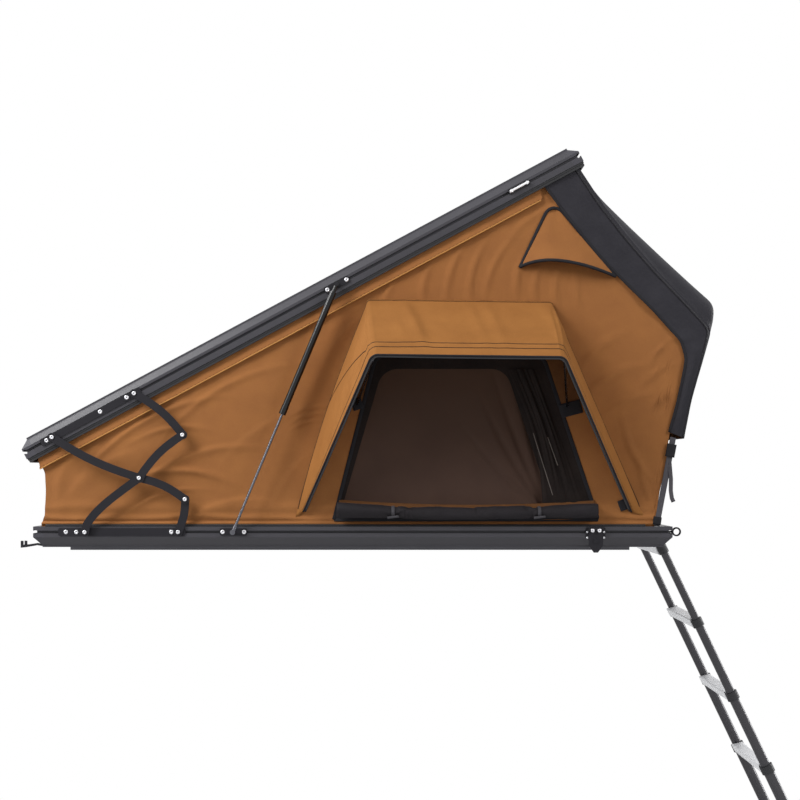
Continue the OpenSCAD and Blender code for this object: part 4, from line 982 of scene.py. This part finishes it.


# %% [markdown]
# Black piping binds the hem. Dark thread runs along the seams, drawn wide and dark so that it is also painted shade
# in the seams' grooves; the upper hem seam starts at the wall, because a strip is sewn on there. The hoop runs in a
# sleeve just inside the hem, so it is drawn towards the middle of the opening. Beside the door, under the hood,
# sheets of darker brown cloth lie on the wall: painted shade for the hood's shadow there.

# %% Hood pieces
HOOP_MID = np.array([0.386, -Y_WALL - 0.060, ZT + 0.200])
HOOD_SEAMS = {"hem_1": PINCHES[0], "hem_2": PINCHES[1], "wall": 0.03}
STRIP = (0.139, 0.25)  # where on its way round the sewn-on strip leaves the wall and meets the hem
share = ramp(260)
for s in (-1, 1):
    body = side_name("awning", s)
    cloth = hood_pts, quads(N, DEEP)[:, ::-1], hood_uv
    sided("hood", s, cloth, hood_canvas_painted_backlight, body, "brown_canvas", thick=0.0012)
    piping = sweep(*on_hood(share, np.ones(260)), outline(0.006, 0.006, 8, 1.0))
    parts = [sided("hood_piping", s, piping, black_tape, body, "dark_cloth")]
    for name, depth in HOOD_SEAMS.items():
        i = np.linspace(STRIP[0] if name == "hem_1" else 0.01, 0.99, 260)
        line, out = on_hood(i, np.interp(i, STRIP, (0.05, depth)) if name == "hem_1" else np.full(260, depth), 0.0003)
        # the dark seam thread is also painted shade along the seam's groove
        thread = sweep(line, out, outline(0.005, 0.0014, 6, 1.0))
        parts.append(sided("hood_seam_" + name, s, thread, seam_thread_and_shade, body, "brown_canvas"))
    core = join(hem[:, 0], -hem_y(hem[:, 1]), hem[:, 1])
    core = core + unit(HOOP_MID - core) * 0.007
    rod = sided("hood_hoop", s, sweep(core, out[:1], outline(0.007, 0.007, 8, 1.0)), spring_black, body, "spring_rod")
    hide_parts(side_name("awning_hoop", s))
    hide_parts(body)
# painted shade: two sheets of the darker brown cloth on the wall beside the door, where the hood's shadow falls
t, z = grid(ramp(14), np.linspace(0.500, 0.690, 20))
for name, a, b in (("hood_shade_sheet_1", DOOR[[3, 2]], SEAM[[3, 2]]), ("hood_shade_sheet_2", SEAM[[0, 1]], DOOR[[0, 1]])):
    first, last = (np.interp(z, e[:, 1], e[:, 0]) for e in (a, b))
    xz = join(first + 0.006 + (last - first - 0.012) * t, z)
    for s in (-1, 1):
        shade_sheet = sided(name, s, (on_wall(xz, 0.0012), quads(14, 20)), shade_lining, "base", "brown_canvas", uv=xz)

# %% [markdown]
# ## The flysheet
# A black coated sheet hangs from the lid over the bow and down the back, with flaps on both sides. Its rows follow
# the curve over the bow; its columns run from one flap's edge, round a slanting corner and over the back to the
# other's. The flaps puff out near their lower ends.

# %% Flysheet surface
FLY_BACK = np.array([(0.107, 0.557), (0.068, 0.426), (0.044, 0.296)]) + [HL, ZT]
FLY_EDGE = np.vstack([lid_at(1.964, -0.0013), np.array([
    (-0.358, 1.045), (-0.259, 0.923), (-0.161, 0.821), (-0.059, 0.720), (0.028, 0.624), (0.047, 0.566), (0.020, 0.426),
    (-0.010, 0.318)]) + [HL, ZT]])
Y_FLY, ROWS, FLAP_COLS = Y_WALL + 0.0065, 96, 26


def even(knots, n):
    """n points on straight legs between knots; a short running mean then rounds the corners without overshoot."""
    line = walk(np.linspace(0, len(knots) - 1, n), np.arange(len(knots)), knots)
    wide = np.concatenate([2 * line[:1] - line[3:0:-1], line, 2 * line[-1:] - line[-2:-5:-1]])
    weights = np.array([1, 2, 3, 4, 3, 2, 1]) / 16
    return np.stack([np.convolve(c, weights, "valid") for c in wide.T], -1)


def fly_mid(y):
    """Curve in the X-Z plane over the roof and down the back at one y; the knots are those of the solid."""
    tip = bow_at(bow_s(y, 0.017), 0.017)
    t = np.array([0, 0.2, 0.4, 0.6, 0.8])[:, None]
    top = lid_at(LID_L - 0.020, -0.0013)
    drop = 0.005 * np.sin(np.pi * t) + slack(t) * np.clip((np.abs(y) - 0.6) / 0.1, 0, 1)
    return np.concatenate([top * (1 - t) + tip * t - np.hstack([0 * t, drop]), tip[None], FLY_BACK])


ys = np.r_[-0.700, np.linspace(-0.692, -0.52, 16), np.linspace(-0.50, 0.50, 34), np.linspace(0.52, 0.692, 16), 0.700]
mid = np.stack([even(fly_mid(y), ROWS) for y in ys])
ridge, inner = mid[0], even(FLY_EDGE, ROWS)
share, along = np.linspace(1, 0.14, FLAP_COLS)[:, None], ramp(ROWS)[None]
flap = ridge * (1 - share[..., None]) + inner * share[..., None]
wave = (0.003 * np.sin(along * 17) + 0.002 * np.sin(along * 41 + 1) + 0.0035 * bell(along - 0.62, 0.03)) * share ** 1.5
puff = 0.006 * bell(share - 0.55, 0.22) * np.clip((along - 0.66) / 0.08, 0, 1)
left = join(flap[..., 0], -(Y_FLY + 0.001 + np.clip(wave, -0.0005, 0.008) + puff), flap[..., 1])
turn = np.stack([ridge * (1 - q) + inner * q for q in (0.11, 0.08, 0.05, 0.02)])
inset = np.array([0.0015, 0.0045, 0.0075, 0.0100])[:, None]
corner = join(turn[..., 0], -Y_FLY + inset, turn[..., 1])
at, ys = np.linspace(0, 8, ROWS), ys[:, None]
calm = np.clip(1 - (np.abs(ys) / 0.69) ** 6, 0, 1)
sag = 0.010 * np.sin(np.pi * np.clip(at / 5, 0, 1)) * calm
ripple = 0.003 * np.sin(ys * 13 + at * 1.2) * calm * np.sin(np.pi * at / 8)
back = join(mid[..., 0] + np.maximum(ripple, -0.001), ys, mid[..., 1] - sag)
pts = np.concatenate([left, corner, back, (corner * [1, -1, 1])[::-1], (left * [1, -1, 1])[::-1]], 0)
faces = quads(len(pts), ROWS)[:, ::-1]
fly = piece("flysheet_cloth", pts, faces, fly_cloth, "rear_bow", "fly_cloth", uv=join(run_of(pts), run_of(pts, 1)))
outward = join(-(inner - ridge)[:, 0], -0.12, -(inner - ridge)[:, 1])
for s in (-1, 1):
    for name, col, lift, out in (("ridge", FLAP_COLS, 0.001, outward), ("flap_hem", 1, 0.0006, NEAR)):
        tape = sweep(pts[col] + [0, -lift, 0], out, outline(0.010, 0.0024, 8))
        sided("fly_" + name, s, tape, black_tape, "rear_bow", "fly_cloth")
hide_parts("flysheet")

# %% [markdown]
# ## Straps, vent flaps and mattress
# A grey strap ties each flysheet corner to the base through a buckle, with a loose tail. A sewn patch holds its foot.

# %% Straps at the rear corners
top, foot = np.array([0.005, 0.300]) + [HL, ZT], np.array([-0.051, 0.002]) + [HL, ZT]
go = unit(foot - top)
v = ramp(40)[:, None]
line = top * (1 - v) + foot * v
main = join(line[:, 0], -Y_WALL - 0.0045 - 0.002 * np.sin(np.pi * v[:, 0]), line[:, 1])
tail = [(1.066, -0.712, 0.310), (1.070, -0.716, 0.255), (1.069, -0.719, 0.215), (1.072, -0.722, 0.190),
        (1.078, -0.720, 0.178)]
buckle = top + go * (0.045 + np.array([-0.022, -0.012, 0, 0.012, 0.022]))[:, None]
buckle = join(buckle[:, 0], -Y_WALL - 0.008, buckle[:, 1])
patch = [(foot[0] + 0.004, -Y_WALL - 0.0062, foot[1] + 0.030), (foot[0], -Y_WALL - 0.0062, foot[1] + 0.004)]
STRAPS = {"fly_strap": (main, NEAR, outline(0.020, 0.002, 10, 0.4), grey_strap),
          "strap_tail": (smooth_path(tail, 30), (-0.35, -1, 0), outline(0.014, 0.0016, 10, 0.4), grey_strap),
          "strap_buckle": (smooth_path(buckle, 12), NEAR, outline(0.032, 0.008, 12, 0.45), black_tape),
          "strap_anchor": (smooth_path(patch, 8), NEAR, outline(0.028, 0.003, 10, 0.4), black_tape)}
for s in (-1, 1):
    made = [sided(name, s, sweep(path, out, profile), skin, "rear_bow", "webbing")
            for name, (path, out, profile, skin) in STRAPS.items()]
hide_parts("fly_straps")

# %% [markdown]
# The vent flap is a three-cornered panel with black piping, sewn on along its upper sides. It stands out along its
# lower edge, which hangs in a shallow arc. It goes inside with the hood.

# %% Vent flaps
FLAP = np.array([(0.671, 1.101), (0.562, 0.872), (0.886, 0.842)]) + [0, ZT]
rim = rounded(FLAP[[1, 0, 2]], 0.034, 401)
peak = rim[:, 1].argmax()
left, right = smooth_path(rim[peak::-1], 40), smooth_path(rim[peak:], 40)
K, T = grid(ramp(40), ramp(60))
xz = left[:, None] * (1 - T[..., None]) + right[:, None] * T[..., None]
xz[..., 1] += 0.031 * K ** 3 * np.sin(np.pi * T ** 0.75)
out = 0.003 + 0.040 * K ** 2 * np.sin(np.pi * T) ** 0.8 + 0.004 * np.sin(T * 9) * K * np.sin(np.pi * T)
pts = join(xz[..., 0], -Y_WALL - 0.002 - np.maximum(out, -on_wall(xz)[..., 1] - Y_WALL), xz[..., 1])
rim = smooth_path(np.vstack([pts[::-1, 0], pts[1:, -1], pts[-1, -2::-1]]), 260)
for s in (-1, 1):
    body = side_name("awning", s)
    panel = pts, quads(40, 60)[:, ::-1], xz
    flap = sided("vent_flap", s, panel, canvas, body, "brown_canvas", thick=0.0012, weld=True)
    pipe = sided("vent_piping", s, sweep(rim, NEAR, outline(0.011, 0.007, 8, 1.0)), black_tape, body, "dark_cloth")
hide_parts("window_flaps")

# %% [markdown]
# The mattress is foam in a quilted cover: a crowned slab with drawn-in edges, and channels sewn in squares. It is two
# sheets of points, upper and lower, joined by a ring of faces round their edges.

# %% Mattress
MX, MY, MZ, MT, SQUARE = 1.010, 0.655, 0.041, 0.055, 0.26
MU, MV = 120, 90
u, v = grid(*(np.sin(np.linspace(-np.pi / 2, np.pi / 2, n)) for n in (MU, MV)))
crown = ((1 - np.abs(u) ** 8) * (1 - np.abs(v) ** 8)) ** 0.4
sewn = sum(bell(np.sin(e * np.pi / SQUARE), 0.16) for e in (u * MX, v * MY))
high = MZ + MT * 0.45 + MT * 0.55 * crown - 0.007 * np.minimum(sewn, 1) * crown
upper = join(MX * u, MY * v, high).reshape(-1, 3)
lower = join((MX - 0.005) * u, (MY - 0.005) * v, MZ).reshape(-1, 3)
g = quads(MU, MV)
number = np.arange(MU * MV).reshape(MU, MV)
ring = np.r_[number[0], number[1:, -1], number[-1, -2::-1], number[-2:0:-1, 0]]
band = join(ring, np.roll(ring, -1), np.roll(ring, -1) + MU * MV, ring + MU * MV)
faces = np.vstack([g, g[:, ::-1] + MU * MV, band[:, ::-1]])
pad = piece("mattress_pad", np.vstack([upper, lower]), faces, quilt, "base", "quilt", uv=np.vstack([upper[:, :2]] * 2),
            weld=True, fold="mattress")
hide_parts("mattress")
print("mattress top at", round(float(high.max()), 4))

# %% [markdown]
# ## Small parts
# Rivets are domed steel heads with a drilled middle, and the middle is painted grey as the shade in the hole. One
# profile turned round an axis gives a head; the heads of one body are one mesh, made for both sides at once. The pins
# of the hinge bars end in the same heads.

# %% Rivet heads
head_skin, t, shader = material("zinc_rivet_head_painted_hole_shade", Metallic=0.85)
# painted shade: the drilled middle, within a third of the radius, is grey against the bright zinc
core = sums(t, "LESS_THAN", add(t, "SeparateXYZ", n0=coords(t, "UV")).outputs["X"], 0.33)
wire(t, shader, Base_Color=shade(t, core, "#D6D6DA", "#77767A"), Roughness=spread(t, core, To_Min=0.4, To_Max=0.6))
PROFILE = np.array([  # distance from the axis and height, as shares
    (0, 0.45), (0.3, 0.45), (0.36, 0.8), (0.55, 1.0), (0.78, 0.85), (0.94, 0.5), (1.0, 0.0), (1.0, -0.15)])
ROUND = 20


def heads(name, spots, body, *nodes):
    """Turned heads at rows of (x, z, outer face, radius, height), mirrored to both sides, as one mesh on one body."""
    x, z, face, radius, tall = np.asarray(spots, float).T[..., None, None]
    a = np.linspace(0, 2 * np.pi, ROUND, endpoint=False)
    r, h = PROFILE.T[..., None]
    near = join(x + radius * r * np.cos(a), -(face + tall * h), z + radius * r * np.sin(a))
    one = quads(len(PROFILE), ROUND, ring=True)
    many = (one[None] + (np.arange(len(near)) * len(PROFILE) * ROUND)[:, None, None]).reshape(-1, 4)
    pts = np.concatenate([near.reshape(-1, 3), (near * [1, -1, 1]).reshape(-1, 3)])
    uv = np.broadcast_to(join(r, 0 * a), near.shape[:3] + (2,)).reshape(-1, 2)
    ob = piece(name, pts, np.concatenate([many[:, ::-1], many + near.size // 3]), head_skin, body, "rivet_steel",
               uv=np.concatenate([uv, uv]), weld=True, fold="stiff")
    if nodes:
        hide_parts(*nodes)


def on_body(node, spot):
    """Centre and outer face of a round head on a solid: the middle of the solid's outermost points within 20 mm."""
    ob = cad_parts[node]
    co = spots_of(ob.data)
    co = (np.c_[co, np.ones(len(co))] @ np.array(ob.matrix_world).T)[:, :3]
    face = -co[:, 1].min()
    near = co[(np.hypot(co[:, 0] - spot[0], co[:, 2] - spot[1]) < 0.02) & (co[:, 1] < -face + 0.0005)][:, [0, 2]]
    return (*((near.max(0) + near.min(0)) / 2), face)


SLOT_Z, LID_SLOT, PLATE = 0.077, 0.024, 0.7285  # height of the rails' slots, and the outer face of the plates on them
BASE_B, BASE_A, STUD_B, LATCH_X = -0.897, -0.586, -0.401, 0.815
RIVET, SCREW, PIN = (0.0075, 0.0026), (0.0038, 0.002), (0.007, 0.002)  # radius and height of a head
row = (BASE_B - 0.066, BASE_B - 0.031, BASE_A - 0.023, STUD_B - 0.036, STUD_B + 0.036)
spots = [(x, SLOT_Z, PLATE, *RIVET) for x in row]
spots += [(LATCH_X + i * 0.028, z, 0.7275, *SCREW) for i in (-1, 1) for z in (0.058, SLOT_Z)]
spots += [(LATCH_X + i * 0.0115, 0.082, 0.7412, 0.0065, 0.002) for i in (-1, 1)]
heads("base_rivet_heads", spots, "base", "base_rivets")
heads("base_pin_caps", [(BASE_B, SLOT_Z, 0.747, *PIN), (BASE_A, SLOT_Z, 0.7355, *PIN)], "base")
lid_spots = ((0.089, PLATE), (0.293, PLATE), (0.394, 0.7305), (1.159, PLATE), (1.231, PLATE))
heads("lid_rivet_heads", [(*lid_at(u, LID_SLOT), face, *RIVET) for u, face in lid_spots], "lid", "lid_rivets")
heads("lid_pin_caps", [(*lid_at(u, LID_SLOT), face, *PIN) for u, face in ((0.112, 0.7425), (0.423, 0.7355))], "lid")
caps = [on_body("lower_arms", c) for c in ((-0.7153, 0.2589), (-0.5705, 0.404))]
heads("lower_bar_caps", [(*c, *PIN) for c in caps], "lower_bars")
c = on_body("upper_arms", (-0.562, 0.1875))
heads("upper_bar_caps", [(*c, *PIN)], "upper_bars")
print("heads at", np.round(caps, 4).tolist(), np.round(c, 4).tolist())

# %% [markdown]
# A band of canvas is sewn on under the lid. It stands away from the wall towards its lower edge, and a line of
# stitches runs above the hem. The hem's fold is a lighter golden tape: a painted highlight where the fold catches the
# light. A black rubber strip closes the joint between wall and base. A stitch is a small lozenge of thread; a row of
# them is one mesh.

# %% Band under the lid and base seal
def stitch_row(name, path, body, s, step=0.014, size=(0.008, 0.0028, 0.0010)):
    """Lozenges of thread at even steps along a near-side path, as one piece: four points round each middle and two
    raised ones on top, joined by six triangles."""
    mid = smooth_path(path, int(run_of(path)[-1] / step))
    go = unit(np.gradient(mid, axis=0))
    out = np.broadcast_to(np.asarray(NEAR, float), mid.shape)
    side = np.cross(go, out)
    long, wide, high = size
    pts = [mid - go * long / 2, mid + side * wide / 2, mid + go * long / 2, mid - side * wide / 2,
           mid - go * long / 4 + out * high, mid + go * long / 4 + out * high]
    one = np.array([(0, 1, 4), (1, 2, 4), (2, 5, 4), (2, 3, 5), (3, 0, 5), (0, 4, 5)])
    faces = (one[None] + 6 * np.arange(len(mid))[:, None, None]).reshape(-1, 3)
    return sided(name, s, (np.stack(pts, 1).reshape(-1, 3), faces), thread_tan, body, "brown_canvas")


BAND = 0.047
u, t = grid(ramp(420), ramp(14))
down = BAND * np.sin(t * np.pi / 2)
u = 0.037 - 0.015 * down / BAND + (1.955 - 0.037) * u
wavy = 0.0012 * np.sin(u * 31) + 0.0008 * np.sin(u * 77 + 1)
xz = lid_at(u, -0.001 - down)
stand = np.where(t < 0.999, 0.002 + 0.0075 * down / BAND + wavy * t, 0.0)
band_pts = join(xz[..., 0], -Y_WALL - 0.001 - np.maximum(stand, 0.0004), xz[..., 1])
seal = sweep(join(np.linspace(-1.035, 0.985, 260), -0.7095, 0.0985), NEAR, outline(0.0075, 0.009, 10, 0.5))
fold = sweep(band_pts[::2, 12] - [0, 0.0006, 0.001], NEAR, outline(0.0045, 0.0030, 8, 1.0))
for s in (-1, 1):
    band = sided("lid_band", s, (band_pts, quads(420, 14)[:, ::-1]), canvas, "base", "brown_canvas", uv=join(u, down))
    sided("base_seal", s, seal, rubber, "base", "seal_rubber")
    stitch_row("band_stitches", band_pts[:, 10] - [0, 0.0004, 0], "base", s)
    sided("band_hem_painted_highlight", s, fold, hem_painted_highlight, "base", "brown_canvas")
print("a band", BAND, "m wide under the lid, sewn every 14 mm")

# %% [markdown]
# Two thin spring steel rods prop the hood from pockets on the wall, and a dark curtain is gathered at the right of
# the door. Its folds are a wave across the bunch that fades at the ends. Two open zips hang in front of it.

# %% Hood props and curtain
zip_tooth = webbing("zip_teeth_grey", "#7A736E", "#4E4945", 0.004)
ZIPS = (((0.606, 0.410), (0.672, 0.200)), ((0.655, 0.395), (0.689, 0.300)))
POCKETS = (  # x, z, width and height
    (0.735, 0.492, 0.074, 0.045), (0.014, 0.507, 0.036, 0.036), (0.908, 0.166, 0.024, 0.034))
RODS = (((0.722, -0.7085, 0.500), (0.680, -0.978, 0.636)), ((0.014, -0.7085, 0.507), (0.070, -0.978, 0.640)))
u, v = grid(ramp(70), ramp(64))
head_x, foot_x = 0.520 + 0.100 * v, 0.640 + 0.150 * v
line = head_x * (1 - u) + foot_x * u + 0.03 * np.sin(np.pi * u) * (1 - v)
fold = 0.5 + 0.26 * np.sin(17 * v + 1.5 * np.sin(2.6 * u)) + 0.16 * np.sin(31 * v - 3 * u + 1)
fold = fold + 0.08 * np.sin(53 * v + 4 * u)
fold = fold * np.sin(np.pi * np.clip(v, 0.02, 0.98)) ** 0.5
pts = join(line, -Y_WALL + 0.0005 - 0.013 * fold * (0.4 + 0.6 * np.sin(np.pi * u)), ZT + 0.530 - 0.470 * u)
for s in (-1, 1):
    for k, ends in enumerate(RODS, 1):
        rod = sweep(smooth_path(ends, 24), (1, 0, 0), outline(0.008, 0.008, 8, 1.0))
        sided(f"hood_prop_{k}", s, rod, chrome, side_name("awning", s), "spring_rod")
    for k, (x, z, wide, high) in enumerate(POCKETS, 1):
        path = on_wall([(x - 0.006, z + high / 2), (x + 0.006, z - high / 2)], 0.0022)
        pocket = sweep(smooth_path(path, 10), NEAR, outline(wide, 0.003, 10, 0.4))
        sided(f"hood_pocket_{k}", s, pocket, black_tape, "base", "dark_cloth")
    bunch = sided("door_curtain", s, (pts, quads(70, 64)), curtain_cloth, "base", "dark_cloth")
    for k, ends in enumerate(ZIPS, 1):
        path = smooth_path([(x, -Y_WALL - 0.016, z) for x, z in ends], 30)
        sided(f"door_zip_{k}", s, sweep(path, NEAR, outline(0.0028, 0.002, 8, 1.0)), zip_tooth, "base", "dark_cloth")
print("curtains gathered to", round(float(-pts[..., 1].min()), 4))
